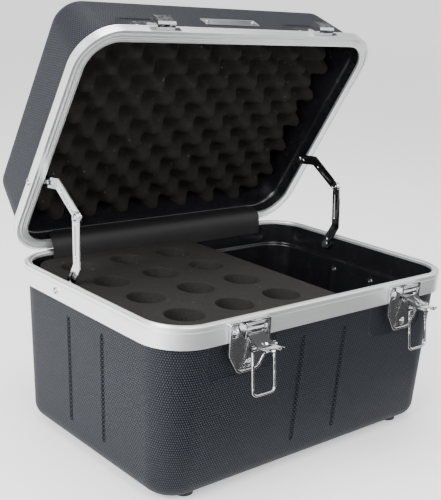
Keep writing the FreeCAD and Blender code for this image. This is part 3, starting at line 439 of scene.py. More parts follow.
def wall_stations(step, arc_steps, extra):
    """Stations round the case's outline: (core point, outward normal, arc length, wall, along).

    extra gives more places along each wall, where it has narrow features.
    """
    half_w, half_d = WIDTH / 2 - CORNER, DEPTH / 2 - CORNER
    stations = []
    walk = 0.0
    for number, wall in enumerate(("front", "right", "rear", "left")):
        turn = Matrix.Rotation(math.pi / 2 * number, 2)
        half, reach = (half_w, half_d) if number % 2 == 0 else (half_d, half_w)
        count = int(2 * half / step)
        places = {round(-half + 2 * half * k / count, 6) for k in range(count + 1)}
        places |= {round(a, 6) for a in extra.get(wall, ()) if abs(a) < half}
        for along in sorted(places):
            core = turn @ Vector((along, -reach))
            normal = turn @ Vector((0, -1))
            stations.append((core, normal, walk + along + half, wall, along))
        walk += 2 * half
        core = turn @ Vector((half, -reach))
        for k in range(1, arc_steps):
            angle = math.pi / 2 * k / arc_steps
            normal = turn @ Vector((math.sin(angle), -math.cos(angle)))
            stations.append((core, normal, walk + CORNER * angle, "corner", 0))
        walk += CORNER * math.pi / 2
    return stations


def wall_rows(start, end, inset, draft, edge, step, extra=()):
    """(offset from the case's outline, z) from the rim to the floor of a drafted, rounded tray."""
    way = 1 if end > start else -1
    turn_z = end - way * edge * (1 - math.sin(draft))
    height = abs(turn_z - start)
    count = int(height / step)
    levels = {round(start + way * height * k / count, 6) for k in range(count + 1)}
    levels |= {round(z, 6) for z in extra}
    rows = []
    for z in sorted(levels, key=lambda z: way * z):
        rows.append((inset + math.tan(draft) * abs(z - start), z))
    centre = rows[-1][0] + edge * math.cos(draft)
    for k in range(1, 9):
        angle = draft + (math.pi / 2 - draft) * k / 8
        rows.append((centre - edge * math.cos(angle), end - way * edge * (1 - math.sin(angle))))
    return rows


def tray_mesh(name, stations, outer, inner, relief, inner_relief):
    """A closed moulding: outside, inside, and the rim between them, with arc-length UVs."""
    bm = bmesh.new()
    uv = bm.loops.layers.uv.new("UVMap")
    girth = stations[-1][2] + (stations[-1][2] - stations[-2][2])

    def surface(rows, extra_offset, material):
        rings, lengths = [], []
        length = 0.0
        for number, (offset, z) in enumerate(rows):
            if number:
                before = rows[number - 1]
                length += math.hypot(offset - before[0], z - before[1])
            lengths.append(length)
            ring = []
            for core, normal, _, wall, along in stations:
                inward = offset + extra_offset(wall, along, z)
                spot = core + normal * (CORNER - inward)
                ring.append(bm.verts.new((spot.x, spot.y, z)))
            rings.append(ring)
        count = len(stations)
        for number, (low, high) in enumerate(zip(rings, rings[1:])):
            for k in range(count):
                after = (k + 1) % count
                face = bm.faces.new((low[k], low[after], high[after], high[k]))
                face.material_index = material
                u0 = stations[k][2]
                u1 = stations[after][2] if after else girth
                spots = ((u0, number), (u1, number), (u1, number + 1), (u0, number + 1))
                for loop, (u, row) in zip(face.loops, spots):
                    loop[uv].uv = (u, lengths[row])
        cap = bm.faces.new(rings[-1])
        cap.material_index = material
        for loop in cap.loops:
            loop[uv].uv = (loop.vert.co.x, loop.vert.co.y)
        return rings[0]

    outside = surface(outer, relief, 0)
    inside = surface(inner, inner_relief, 1)
    for k in range(len(stations)):
        after = (k + 1) % len(stations)
        face = bm.faces.new((outside[k], outside[after], inside[after], inside[k]))
        face.material_index = 1
    return to_mesh(bm, name)


def in_slot(along, z, centre, half, top, end, edge):
    """1 inside an upright slot with round ends, falling to 0 over its edge."""
    upper, lower = max(top, end) - half, min(top, end) + half
    nearest = max(lower, min(upper, z))
    distance = math.hypot(along - centre, z - nearest)
    return smooth_step((half - distance) / edge + 0.5)


def in_recess(along, z, centre, half, limit, corner, edge):
    """1 inside a recess that opens at the rim, with round far corners."""
    reach = abs(limit)
    dx = abs(along - centre) - (half - corner)
    dz = abs(z) - (reach - corner)
    distance = math.hypot(max(dx, 0), max(dz, 0)) + min(max(dx, dz), 0) - corner
    return smooth_step(-distance / edge + 0.5)


def base_relief(wall, along, z):
    if wall == "corner":
        return 0.0
    depth = 0.0
    for sign in (-1, 1):
        slot = in_slot(along, z, sign * GROOVE_AT, GROOVE_HALF, GROOVE_TOP, GROOVE_END, edge=1.6 * MM)
        depth = max(depth, GROOVE_DEPTH * slot)
        if wall == "front":
            recess = in_recess(
                along, z, sign * LATCH_AT, LATCH_RECESS_HALF, LATCH_RECESS_END,
                corner=12 * MM, edge=2.5 * MM,
            )
            depth = max(depth, RECESS_DEPTH * recess)
    return depth


def base_inner_relief(wall, along, z):
    step = BASE_LEDGE_STEP * smooth_step((BASE_LEDGE - z) / (3 * MM))
    if wall == "corner":
        return step
    rib = 0.0
    for sign in (-1, 1):
        slot = in_slot(along, z, sign * GROOVE_AT, RIB_HALF, RIB_TOP, GROOVE_END, edge=3.6 * MM)
        rib = max(rib, RIB_RISE * slot)
    return step + rib


def lid_relief(wall, along, z):
    if wall != "front":
        return 0.0
    depth = 0.0
    for sign in (-1, 1):
        recess = in_recess(
            along, z, sign * LATCH_AT, KEEPER_RECESS_HALF, KEEPER_RECESS_END, corner=18 * MM, edge=2.5 * MM
        )
        depth = max(depth, RECESS_DEPTH * recess)
    return depth


def lid_inner_relief(wall, along, z):
    return LID_LEDGE_STEP * smooth_step((z - LID_LEDGE) / (1.6 * MM))


def feature_places():
    """Closer stations where the walls carry grooves, ribs and recess edges."""
    near = [0, 0.7, 1.3, 1.9, 2.5, 3.4, 4.4]
    grooves = [s * GROOVE_AT + t * d * MM for s in (-1, 1) for t in (-1, 1) for d in near]
    edges = []
    for half in (LATCH_RECESS_HALF, KEEPER_RECESS_HALF):
        for sign in (-1, 1):
            for side in (-1, 1):
                middle = sign * LATCH_AT + side * half
                edges += [middle + d * MM for d in (-1.5, -0.7, 0, 0.7, 1.5)]
    return {"front": grooves + edges, "rear": grooves, "left": grooves, "right": grooves}


def make_shells():
    stations = wall_stations(OUTER_STEP, ARC_STEPS, feature_places())
    ends = [GROOVE_TOP + d * MM for d in (-3, -2, -1, 0, 1)]
    ends += [GROOVE_END + d * MM for d in (-1, 0, 1, 2, 3)]
    ends += [LATCH_RECESS_END + d * MM for d in (-1.5, -0.7, 0, 0.7, 1.5, 4, 8)]
    outer = wall_rows(BASE_START, BASE_FLOOR, BASE_INSET, BASE_DRAFT, BASE_EDGE, OUTER_STEP, ends)
    ledge = [BASE_LEDGE - d * MM for d in (0, 0.6, 1.2, 1.8, 2.4, 3)]
    ledge += [GROOVE_TOP - d * MM for d in (3, 4, 5, 6, 7, 9)]
    inner = wall_rows(
        BASE_START, BASE_FLOOR + WALL, BASE_INSET + WALL, BASE_DRAFT, BASE_EDGE - WALL, INNER_STEP, ledge
    )
    mesh = tray_mesh("base_moulding", stations, outer, inner, base_relief, base_inner_relief)
    base = keep_piece(mesh, "base_moulding", ("shell", "gloss"), "base", CASE)
    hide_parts("base_shell")

    ends = [KEEPER_RECESS_END + d * MM for d in (-8, -4, -1.5, -0.7, 0, 0.7, 1.5)]
    outer = wall_rows(LID_START, LID_TOP, LID_INSET, LID_DRAFT, LID_EDGE, OUTER_STEP, ends)
    ledge = [LID_LEDGE + d * MM for d in (0, 0.4, 0.8, 1.2, 1.6)]
    inner = wall_rows(
        LID_START, LID_TOP - WALL, LID_INSET + WALL, LID_DRAFT, LID_EDGE - WALL, INNER_STEP, ledge
    )
    mesh = tray_mesh("lid_moulding", stations, outer, inner, lid_relief, lid_inner_relief)
    lid = keep_piece(mesh, "lid_moulding", ("shell", "gloss"), "lid", LID)
    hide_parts("lid_shell")


# ---- foam
FOAM_CORNER, PAD_CORNER, CUT_CORNER = 30 * MM, 28 * MM, 0.8 * MM
FOAM_EDGE, PAD_EDGE = 1.4 * MM, 3 * MM
POCKET_RADIUS, POCKET_CENTRE = 20 * MM, -86 * MM
POCKET_PITCH = (65 * MM, 62.5 * MM)

def foam_outline(left, right, front, rear, corner):
    """A block that follows the case's corners on the left and is cut square on the right."""
    square = [(left, front), (right, front), (right, rear), (left, rear)]
    return round_corners(square, [corner, CUT_CORNER, CUT_CORNER, corner], 12)

def make_base_foam():
    """The pocket block, drawn in below as the walls lean, and the pad under it."""
    low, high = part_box("foam_block")
    deep = high.z - low.z
    front, rear = low.y - CENTRE_Y, high.y - CENTRE_Y
    outlines = [foam_outline(low.x, high.x, front, rear, FOAM_CORNER)]
    for column in (-1, 0, 1):
        for line in (-1.5, -0.5, 0.5, 1.5):
            centre = (POCKET_CENTRE + column * POCKET_PITCH[0], line * POCKET_PITCH[1])
            outlines.append(circle(centre, POCKET_RADIUS))
    mesh = plate_mesh("pocket_foam", outlines, deep, FOAM_EDGE)
    for vertex in mesh.vertices:
        down = deep - vertex.co.z
        vertex.co.y *= 1 - math.tan(BASE_DRAFT) * down / rear
    place = Matrix.Translation((0, CENTRE_Y, low.z))
    foam = keep_piece(mesh, "pocket_foam", ("foam",), "base", place, 50)
    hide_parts("foam_block")

    low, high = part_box("foam_floor_pad")
    half = (high.y - low.y) / 2
    outline = foam_outline(low.x, high.x, -half, half, PAD_CORNER)
    mesh = plate_mesh("floor_foam", [outline], high.z - low.z, PAD_EDGE)
    place = Matrix.Translation((0, CENTRE_Y, low.z))
    pad = keep_piece(mesh, "floor_foam", ("foam",), "base", place)
    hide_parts("foam_floor_pad")

CRATE_FACE, CRATE_BACK, CRATE_DEPTH = 32 * MM, 84.5 * MM, 25 * MM
CRATE_HALF_X, CRATE_HALF_Y, CRATE_CORNER = 188 * MM, 133.5 * MM, 32 * MM
CRATE_PITCH = (46.5 * MM, 42 * MM)
CRATE_PHASE = (-135 * MM, -76 * MM)


def crate_height(x, y):
    """The egg-crate face: fat round lumps in staggered rows with narrow pits between."""
    across = math.cos(2 * math.pi * (x - CRATE_PHASE[0]) / CRATE_PITCH[0])
    down = math.cos(2 * math.pi * (y - CRATE_PHASE[1]) / CRATE_PITCH[1])
    wave = 0.5 + 0.5 * across * down
    return CRATE_FACE + CRATE_DEPTH * (1 - smooth_step(wave) ** 0.85)


def on_outline(x, y, half_x, half_y, corner):
    """The nearest point of a rounded rectangle, and how far outside it x, y lies."""
    reach_x, reach_y = half_x - corner, half_y - corner
    core = Vector((max(-reach_x, min(reach_x, x)), max(-reach_y, min(reach_y, y))))
    away = Vector((x, y)) - core
    if away.length < 1e-9:
        return Vector((x, y)), -corner
    return core + away.normalized() * corner, away.length - corner


def drawn_in(rise):
    """How much the lid's leaning walls shrink the foam's outline over a rise."""
    return 1 - math.tan(LID_DRAFT) * rise / CRATE_HALF_Y

def make_lid_foam():
    step = 2.6 * MM
    count_x, count_y = int(2 * CRATE_HALF_X / step), int(2 * CRATE_HALF_Y / step)
    bm = bmesh.new()
    grid = {}
    for i in range(count_x + 1):
        for j in range(count_y + 1):
            x = -CRATE_HALF_X + 2 * CRATE_HALF_X * i / count_x
            y = -CRATE_HALF_Y + 2 * CRATE_HALF_Y * j / count_y
            edge, outside = on_outline(x, y, CRATE_HALF_X, CRATE_HALF_Y, CRATE_CORNER)
            if outside > 0.9 * step:
                continue
            if outside > -0.35 * step:
                x, y = edge
            z = crate_height(x, y)
            shrink = drawn_in(z - CRATE_FACE)
            grid[i, j] = bm.verts.new((x * shrink, y * shrink, z))
    for i in range(count_x):
        for j in range(count_y):
            ring = [(i, j), (i + 1, j), (i + 1, j + 1), (i, j + 1)]
            corners = [grid[key] for key in ring if key in grid]
            if len(corners) > 2:
                bm.faces.new(corners)
    bmesh.ops.remove_doubles(bm, verts=bm.verts, dist=1e-5)
    rim = [edge for edge in bm.edges if edge.is_boundary]
    skirt = bmesh.ops.extrude_edge_only(bm, edges=rim)["geom"]
    for vertex in (item for item in skirt if isinstance(item, bmesh.types.BMVert)):
        shrink = drawn_in(CRATE_BACK - vertex.co.z)
        vertex.co = Vector((vertex.co.x * shrink, vertex.co.y * shrink, CRATE_BACK))
    back = [e for e in bm.edges if e.is_boundary]
    bmesh.ops.contextual_create(bm, geom=back)
    mesh = to_mesh(bm, "egg_crate_foam")
    crate = keep_piece(mesh, "egg_crate_foam", ("crate",), "lid", LID, 60)
    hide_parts("lid_foam")


# ---- hinge cover
def smooth_path(points, steps):
    """Points evenly spread along a Catmull-Rom curve through the given ones."""
    result = []
    last = len(points) - 1
    for i in range(last):
        a, b = points[max(i - 1, 0)], points[i]
        c, d = points[i + 1], points[min(i + 2, last)]
        for k in range(steps):
            t = k / steps
            result.append(
                0.5 * (2 * b + (c - a) * t + (2 * a - 5 * b + 4 * c - d) * t ** 2
                       + (3 * b - a - 3 * c + d) * t ** 3)
            )
    result.append(points[last])
    return result


def make_hinge_cover():
    """The vinyl strip that rolls from the base's rear wall over the rim on to the lid's ledge."""
    half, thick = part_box("hinge_cover")[1].x, 1.1 * MM
    path = [Vector((y * MM, z * MM)) for y, z in (
        (137.4, -13), (137.2, -3), (137.4, 4), (138.4, 9.5), (141.0, 14.6), (145.2, 17.7),
        (150.6, 19.4), (156.4, 20.6),
    )]
    line = smooth_path(path, 5)
    bm = bmesh.new()
    columns = 72
    rows = []
    for number, point in enumerate(line):
        before, after = line[max(number - 1, 0)], line[min(number + 1, len(line) - 1)]
        along = (after - before).normalized()
        normal = Vector((-along.y, along.x))
        t = number / (len(line) - 1)
        trim = 9 * MM * smooth_step((t - 0.72) / 0.28) ** 2
        row = []
        for k in range(columns + 1):
            x = -half + 2 * half * k / columns
            x *= (half - trim) / half
            crease = 0.35 * MM * math.sin(x * 61 + 1.3) * math.sin(math.pi * t)
            crease += 0.25 * MM * math.sin(x * 143 + 2.1) * math.sin(math.pi * t)
            spot = point + normal * crease
            row.append((x, spot, normal))
        rows.append(row)
    skins = []
    for side in (0.5, -0.5):
        skins.append([
            [bm.verts.new((x, *(spot + normal * thick * side))) for x, spot, normal in row]
            for row in rows
        ])
    close_skins(bm, *skins)
    mesh = to_mesh(bm, "hinge_cover_strip")
    strip = keep_piece(mesh, "hinge_cover_strip", ("cover",), None, CASE, 60)
    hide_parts("hinge_cover")
    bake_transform(strip)


# ---- lid stays
STAY_HALF, STAY_THICK = 6 * MM, 2 * MM
STAY_BORE, STAY_PIN = 2.05 * MM, 1.9 * MM
BEAD_HALF, BEAD_MARGIN, BEADED_RUN = 2.4 * MM, 11 * MM, 26 * MM
# in case space, (y, z): the bend of each arm, and the upper arm's pivot with the lid shut
STAY_BENDS = {"lower": (31 * MM, 16 * MM), "upper": (75 * MM, 94 * MM)}
STAY_LID_PIVOT = (46.7 * MM, 6.7 * MM)


def stay_outline(points, half):
    """A constant-width dog-leg round three points, with round ends."""
    a, b, c = (Vector(point) for point in points)
    first, second = (b - a).normalized(), (c - b).normalized()
    side_1, side_2 = Vector((-first.y, first.x)), Vector((-second.y, second.x))
    mitre = (side_1 + side_2).normalized()
    mitre *= half / mitre.dot(side_1)
    outline = []
    for k in range(13):
        turn = Matrix.Rotation(math.pi * k / 12, 2)
        outline.append(a + turn @ (side_1 * half))
    outline.append(b - mitre)
    for k in range(13):
        turn = Matrix.Rotation(math.pi * k / 12, 2)
        outline.append(c + turn @ (-side_2 * half))
    outline.append(b + mitre)
    return outline


def bead_outline(start, stop, half, margin):
    """A long slot between two points, kept a margin away from both."""
    way = (stop - start).normalized()
    side = Vector((-way.y, way.x)) * half
    a, b = start + way * margin, stop - way * margin
    outline = []
    for k in range(9):
        outline.append(a + Matrix.Rotation(math.pi * k / 8, 2) @ side)
    for k in range(9):
        outline.append(b + Matrix.Rotation(math.pi * k / 8, 2) @ -side)
    return outline


def stay_mesh(name, points):
    """A pressed arm: a thin web with a raised border round a long sunk panel on each run."""
    places = [Vector(point) for point in points]
    ends = [circle(places[0], STAY_BORE, 24), circle(places[-1], STAY_BORE, 24)]
    body = stay_outline(points, STAY_HALF)
    skin_thick, web_thick = STAY_THICK / 2, 0.3 * MM
    inside = stay_outline(points, STAY_HALF - 0.6 * MM)
    web = plate_mesh(name, [inside] + ends, web_thick, 0.1 * MM, 1)
    web.transform(Matrix.Translation((0, 0, (STAY_THICK - web_thick) / 2)))
    slots = []
    for start, stop in zip(places, places[1:]):
        if (stop - start).length > BEADED_RUN:
            slots.append(bead_outline(start, stop, BEAD_HALF, BEAD_MARGIN))
    skins = []
    for lift in (0, STAY_THICK - skin_thick):
        skin = plate_mesh(name, [body] + ends + slots, skin_thick, 0.48 * MM, 4)
        skin.transform(Matrix.Translation((0, 0, lift)))
        skins.append(skin)
    return joined([web] + skins, name)


def in_case(point):
    """The (y, z) of a world point, measured from the middle of the base and its rim."""
    spot = CASE.inverted() @ Vector(point)
    return Vector((spot.y, spot.z))

def make_stays():
    base_pivot = in_case(joints["stay_lower_pivot_left"]["pos_m"])
    knee = in_case(joints["stay_knee_left"]["pos_m"])
    lid_pivot = in_case(LID @ Vector((0, *STAY_LID_PIVOT)))
    runs = {
        "lower": (base_pivot, Vector(STAY_BENDS["lower"]), knee),
        "upper": (knee, Vector(STAY_BENDS["upper"]), lid_pivot),
    }
    for label in SIDES:
        for kind, points in runs.items():
            node = f"stay_{kind}_{label}"
            low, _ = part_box(node)
            mesh = stay_mesh(f"pressed_{node}", points)
            upright = Matrix(((0, 0, 1, low.x), (1, 0, 0, 0), (0, 1, 0, 0), (0, 0, 0, 1)))
            arm = keep_piece(mesh, f"pressed_{node}", ("chrome",), node, CASE @ upright, 35)
            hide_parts(node)

# ---- rivets, latches, badge and grip
def ringed_rivet(name, radius, rise):
    """A turned head standing on z = 0: a rim, a sunk ring painted dark as shade, and a domed middle."""
    dome, ring, floor = radius * 0.45, radius * 0.72, rise * 0.12
    profile = [(0, 0), (radius, 0), (radius, rise * 0.4), (radius * 0.93, rise * 0.8),
               (radius * 0.8, rise * 0.8), (ring, floor), (dome, floor)]
    for k in range(1, 6):
        turn = math.pi / 2 * k / 5
        profile.append((dome * math.cos(turn), floor + (rise - floor) * math.sin(turn)))
    head = lathe_mesh(name, profile, 36)
    for face in head.polygons:
        reach = math.hypot(face.center.x, face.center.y)
        if dome < reach < ring and face.center.z > 0:
            # the sunk ring takes the painted shade material
            face.material_index = 1
    return head


def make_frame_heads():
    """Ringed rivet heads on the outside of the edge frames."""
    for body in ("base", "lid"):
        node = f"{body}_frame_rivets"
        low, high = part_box(node)
        middle = (low + high) / 2
        radius, rise = (high.y - low.y) / 2, high.x - WIDTH / 2
        heads = []
        for side in SIDES.values():
            head = ringed_rivet(node, radius, rise)
            turn = Matrix.Rotation(side * math.pi / 2, 4, "Y")
            head.transform(Matrix.Translation((side * WIDTH / 2, middle.y, middle.z)) @ turn)
            heads.append(head)
        mesh = joined(heads, f"ringed_heads_{body}")
        item = keep_piece(mesh, f"ringed_heads_{body}", ("chrome", "ring_shade"), body, smooth=50)
        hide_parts(node)


def make_knee_rivets():
    """Ringed heads on both ends of the knee rivets, on a plain shank."""
    for label in SIDES:
        node = f"stay_knee_rivet_{label}"
        low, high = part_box(node)
        middle = (low + high) / 2
        radius, rise = STAY_HALF - 0.4 * MM, 0.9 * MM
        first, last = low.x + rise, high.x - rise
        pieces = []
        for way, x in ((1, last), (-1, first)):
            head = ringed_rivet(node, radius, rise)
            turn = Matrix.Rotation(way * math.pi / 2, 4, "Y")
            head.transform(Matrix.Translation((x, middle.y, middle.z)) @ turn)
            pieces.append(head)
        profile = [(0, 0), (STAY_PIN, 0), (STAY_PIN, last - first), (0, last - first)]
        shank = lathe_mesh(node, profile, 24)
        turn = Matrix.Rotation(math.pi / 2, 4, "Y")
        shank.transform(Matrix.Translation((first, middle.y, middle.z)) @ turn)
        mesh = joined(pieces + [shank], f"ringed_rivet_{label}")
        rivet = keep_piece(
            mesh, f"ringed_rivet_{label}", ("chrome", "ring_shade"), f"stay_lower_{label}", smooth=50
        )
        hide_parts(node)


def on_front(x, out, z):
    """A place on the front: its x to the right, its y up and its z out of the wall."""
    spot = Vector((x, -DEPTH / 2 - out, z))
    return Matrix(((1, 0, 0, spot.x), (0, 0, -1, spot.y), (0, 1, 0, spot.z), (0, 0, 0, 1)))


def across_front(x):
    """Lays a plate drawn in (out, z) across the front, its thickness along x from x on."""
    return Matrix(((0, 0, 1, x), (-1, 0, 0, -DEPTH / 2), (0, 1, 0, 0), (0, 0, 0, 1)))


def latch_outline(inset):
    """The latch plate's outline in (x, z), set in by so many mm, with large soft corners below."""
    half = [(26 - inset, -1.5 - inset), (26 - inset, -33 + 0.4 * inset), (14 - inset, -53 + inset)]
    mirrored = [(-x, z) for x, z in half[::-1]]
    ring = [Vector(corner) * MM for corner in mirrored + half]
    return round_corners(ring, [radius * MM for radius in (7, 9, 2.5, 2.5, 9, 7)], 8)

PLATE_FACE, PLATE_BORDER = 3.3 * MM, 4.0 * MM
LATCH_RIVETS = [Vector(spot) * MM for spot in ((-19, -12), (19, -12), (0, -44))]
BRACKET_HALF, BRACKET_SHEET = 12 * MM, 1.2 * MM

def rivet_boss():
    """The low raised pad that a latch rivet sits on."""
    profile = [(0, 0), (4.6, 0), (4.2, 0.5), (3.2, 0.8), (0, 0.8)]
    return lathe_mesh("boss", [(radius * MM, height * MM) for radius, height in profile], 28)

def bracket_meshes(centre):
    """The folded bracket round the lever's pin: a stepped sheet, two cheeks and a rolled edge."""
    length = 2 * BRACKET_HALF
    fold = [(3.2, -1.6), (9.2, -1.6), (9.9, -2.6), (9.9, -5.2), (9.3, -6.0)]
    fold += [(9.9, -6.9), (9.9, -9.6), (8.7, -9.6), (8.7, -2.8), (3.2, -2.8)]
    sheet = plate_mesh("fold", [[Vector(point) * MM for point in fold]], length, 0.2 * MM, 1)
    sheet.transform(across_front(centre - BRACKET_HALF))
    meshes = [sheet]
    corners = [Vector(c) * MM for c in ((3.0, -1.6), (3.0, -17), (10, -17), (10, -1.6))]
    outline = round_corners(corners, [radius * MM for radius in (0.2, 0.6, 3.4, 0.8)], 8)
    for x in (centre - BRACKET_HALF, centre + BRACKET_HALF - BRACKET_SHEET):
        cheek = plate_mesh("cheek", [outline], BRACKET_SHEET, 0.25 * MM)
        cheek.transform(across_front(x))
        meshes.append(cheek)
    profile = [(0, 0), (0.8 * MM, 0), (1.1 * MM, 0.3 * MM)]
    profile += [(radius, length - height) for radius, height in profile[::-1]]
    roll = lathe_mesh("roll", profile, 24)
    spot = Vector((centre - BRACKET_HALF, -DEPTH / 2 - 9.7 * MM, -1.4 * MM))
    roll.transform(Matrix.Translation(spot) @ Matrix.Rotation(math.pi / 2, 4, "Y"))
    return meshes + [roll]

def make_latch_plates():
    """Pressed plates: a sunk face inside a raised border, rivet bosses and a folded bracket."""
    for label, side in SIDES.items():
        centre = side * LATCH_AT
        border = [latch_outline(0), latch_outline(2.6)]
        pieces = [
            plate_mesh("face", [latch_outline(0.3)], PLATE_FACE, 0.5 * MM),
            plate_mesh("border", border, PLATE_BORDER, 0.6 * MM),
        ]
        for spot in LATCH_RIVETS:
            boss = rivet_boss()
            boss.transform(Matrix.Translation((spot.x, spot.y, PLATE_FACE - 0.1 * MM)))
            pieces.append(boss)
        for piece in pieces:
            piece.transform(on_front(centre, 0, 0))
        mesh = joined(pieces + bracket_meshes(centre), f"pressed_plate_{label}")
        plate = keep_piece(mesh, f"pressed_plate_{label}", ("chrome",), "base", CASE, 40)
        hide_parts(f"latch_plate_{label}")

LEVER_REST = math.radians(60.8)


def lever_sheet():
    """The lever's sheet as it hangs: rolled over the pin, dimpled, ramped and waved at its lip."""
    path = [Vector((out * MM, z * MM)) for out, z in (
        (-1.4, 2.9), (0.8, 3.2), (2.7, 1.9), (3.1, -1.5), (3.0, -8), (3.1, -15), (4.0, -20.5),
        (6.6, -25.4), (8.9, -28.8), (10.2, -31.6),
    )]
    line = smooth_path(path, 7)
    columns, last = 28, len(line) - 1
    bm = bmesh.new()
    skins = [[], []]
    for number, point in enumerate(line):
        before, after = line[max(number - 1, 0)], line[min(number + 1, last)]
        along = (after - before).normalized()
        outward = Vector((-along.y, along.x))
        t = number / last
        half = (10.3 + 0.8 * smooth_step((t - 0.5) / 0.3) - 1.0 * smooth_step((t - 0.9) / 0.1) ** 2) * MM
        rows = [[], []]
        for k in range(columns + 1):
            across = -1 + 2 * k / columns
            x = across * half
            wave = 0.9 * MM * math.cos(2 * math.pi * across) * smooth_step((t - 0.8) / 0.2)
            crown = 0.5 * MM * (1 - across ** 2) * smooth_step((t - 0.45) / 0.3)
            from_dimple = math.hypot(x, point.y + 17 * MM)
            dimple = 0.7 * MM * smooth_step(1.6 - from_dimple / (2.2 * MM))
            skin_spot = point + outward * (crown - dimple + wave)
            for depth, row in ((0.0, rows[0]), (1.2 * MM, rows[1])):
                spot = skin_spot - outward * depth
                row.append(bm.verts.new((x, -spot.x, spot.y)))
        for skin, row in zip(skins, rows):
            skin.append(row)
    close_skins(bm, *skins)
    return to_mesh(bm, "lever_sheet")


def make_levers():
    """The pressed levers: the sheet and two cheeks that hold the bail's pin."""
    corners = [Vector(c) * MM for c in ((-1.6, 3.2), (-2.9, -19.4), (2.7, -19.4), (2.7, 2.6))]
    cheek = round_corners(corners, [radius * MM for radius in (1.4, 2.5, 1.2, 0.8)], 6)
    holes = [circle((0, 0), 1.45 * MM, 24), circle((0, -16.6 * MM), 1.35 * MM, 24)]
    for label in SIDES:
        pieces = [lever_sheet()]
        for way in (-1, 1):
            wall = plate_mesh("cheek", [cheek] + holes, 1.3 * MM, 0.3 * MM, 2)
            x = way * 10.3 * MM - (1.3 * MM if way > 0 else 0)
            wall.transform(Matrix(((0, 0, 1, x), (-1, 0, 0, 0), (0, 1, 0, 0), (0, 0, 0, 1))))
            pieces.append(wall)
        mesh = joined(pieces, f"pressed_lever_{label}")
        pivot = Vector(joints[f"lever_swing_{label}"]["pos_m"])
        place = Matrix.Translation(pivot) @ Matrix.Rotation(-LEVER_REST, 4, "X")
        lever = keep_piece(mesh, f"pressed_lever_{label}", ("chrome",), f"lever_{label}", place, 50)
        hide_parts(f"latch_lever_{label}")


BADGE_HALF, BADGE_FOOT, BADGE_HEIGHT = 39 * MM, 30.5 * MM, 15 * MM


def make_badge():
    """The blank badge: a brushed plate with a raised border, lying on the lid's leaning wall."""
    away = LID_INSET + math.tan(LID_DRAFT) * (BADGE_FOOT - LID_START)
    lean = Matrix.Rotation(-LID_DRAFT, 4, "X")
    place = on_front(0, -away, BADGE_FOOT) @ lean

    def outline(inset):
        low, high = inset, BADGE_HEIGHT - inset
        half = BADGE_HALF - inset
        return round_corners([(-half, low), (half, low), (half, high), (-half, high)], 2.5 * MM, 6)

    face = plate_mesh("badge_face", [outline(0.1 * MM)], 0.75 * MM, 0.15 * MM)
    border = plate_mesh("badge_border", [outline(0), outline(1.3 * MM)], 1.0 * MM, 0.2 * MM)
    mesh = joined([face, border], "bordered_badge")
    badge = keep_piece(mesh, "bordered_badge", ("badge",), "lid", LID @ place, 40)
    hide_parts("badge_plate")


def make_grip():
    """The vinyl grip: a swelled sleeve with turned ribs."""
    low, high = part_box("handle_grip")
    length = high.x - low.x
    radius = (high.z - low.z) / 2
    bore, swell, groove = 3.05 * MM, radius - 0.2 * MM, radius - 1.2 * MM
    end = [(bore, 0), (radius - 1.6 * MM, 0), (radius - 0.5 * MM, 0.6 * MM), (swell, 2 * MM)]
    profile = list(end)
    ribs, margin = 16, 5 * MM
    pitch = (length - 2 * margin) / ribs
    for k in range(ribs):
        z = margin + k * pitch
        profile += [(swell, z), (groove, z + 0.9 * MM)]
        profile += [(groove, z + 1.5 * MM), (swell, z + 2.4 * MM)]
    profile += [(across, length - along) for across, along in end[::-1]] + [(bore, 0)]
    mesh = lathe_mesh("ribbed_grip", profile)
    centre = (low + high) / 2
    place = Matrix.Translation((low.x, centre.y, centre.z)) @ Matrix.Rotation(math.pi / 2, 4, "Y")
    grip = keep_piece(mesh, "ribbed_grip", ("grip",), "handle", place, 50)
    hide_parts("handle_grip")


# ---- CAD nodes keep their shapes
SLOT_PAINT = {
    "moulded_shell": "shell",
    "edge_aluminium": "aluminium",
    "foam": "foam",
    "black_rubber": "rubber",
    "bright_chrome": "chrome",
    "zinc_steel": "zinc",
    "cover_strip": "cover",
    "badge_metal": "badge",
    "grip_vinyl": "grip",
}
# in mm, for the CAD nodes that are shown
EDGE_ROUNDING = {
    "edge_frame": 0.35,
    "keeper": 0.4,
    "rubber_feet": 0.8,
    "handle_brackets": 0.4,
    "stud": 0.25,
    "end_rivet": 0.3,
    "hinge_leaf": 0.12,
}


def dress_cad_nodes():
    """Gives every CAD node its material, and rounds the edges of the plain ones."""
    for part in frame["record"]["subparts"]:
        item = nodes[part["node"]]
        item.data.materials.clear()
        item.data.materials.append(MATERIALS[SLOT_PAINT[part["material_slot"]]])
        for word, width in EDGE_ROUNDING.items():
            if word in part["node"] and "rivets" not in part["node"]:
                soften(item, width * MM)
                break


# ---- studio
FLOOR_LEVEL, CARD_LEVEL = -0.4 * MM, 0.5 * MM
LIT_SPOT = Vector((0, 0, 0.2))

def area_light(name, spot, size, power):
    """A soft rectangular light that faces the case."""
    data = bpy.data.lights.new(name, "AREA")
    data.shape = "RECTANGLE"
    data.size, data.size_y = size
    data.energy = power
    item = bpy.data.objects.new(name, data)
    bpy.context.scene.collection.objects.link(item)
    item.location = spot
    item.rotation_euler = (LIT_SPOT - Vector(spot)).to_track_quat("-Z", "Y").to_euler()

def stage_piece(mesh, material):
    """Links a mesh as part of the studio."""
    item = bpy.data.objects.new(mesh.name, mesh)
    bpy.context.scene.collection.objects.link(item)
    mesh.materials.append(material)
    return item

def make_floor():
    """A pale floor that sweeps up all round, far away, so that no horizon shows."""
    flat, sweep, steps = 16.0, 8.0, 12
    profile = [(0, FLOOR_LEVEL)]
    for k in range(steps + 1):
        turn = math.pi / 2 * k / steps
        rise = sweep * (1 - math.cos(turn))
        profile.append((flat + sweep * math.sin(turn), FLOOR_LEVEL + rise))
    floor = lathe_mesh("studio_floor", profile, 96)
    floor.shade_smooth()
    stage_piece(floor, floor_material())

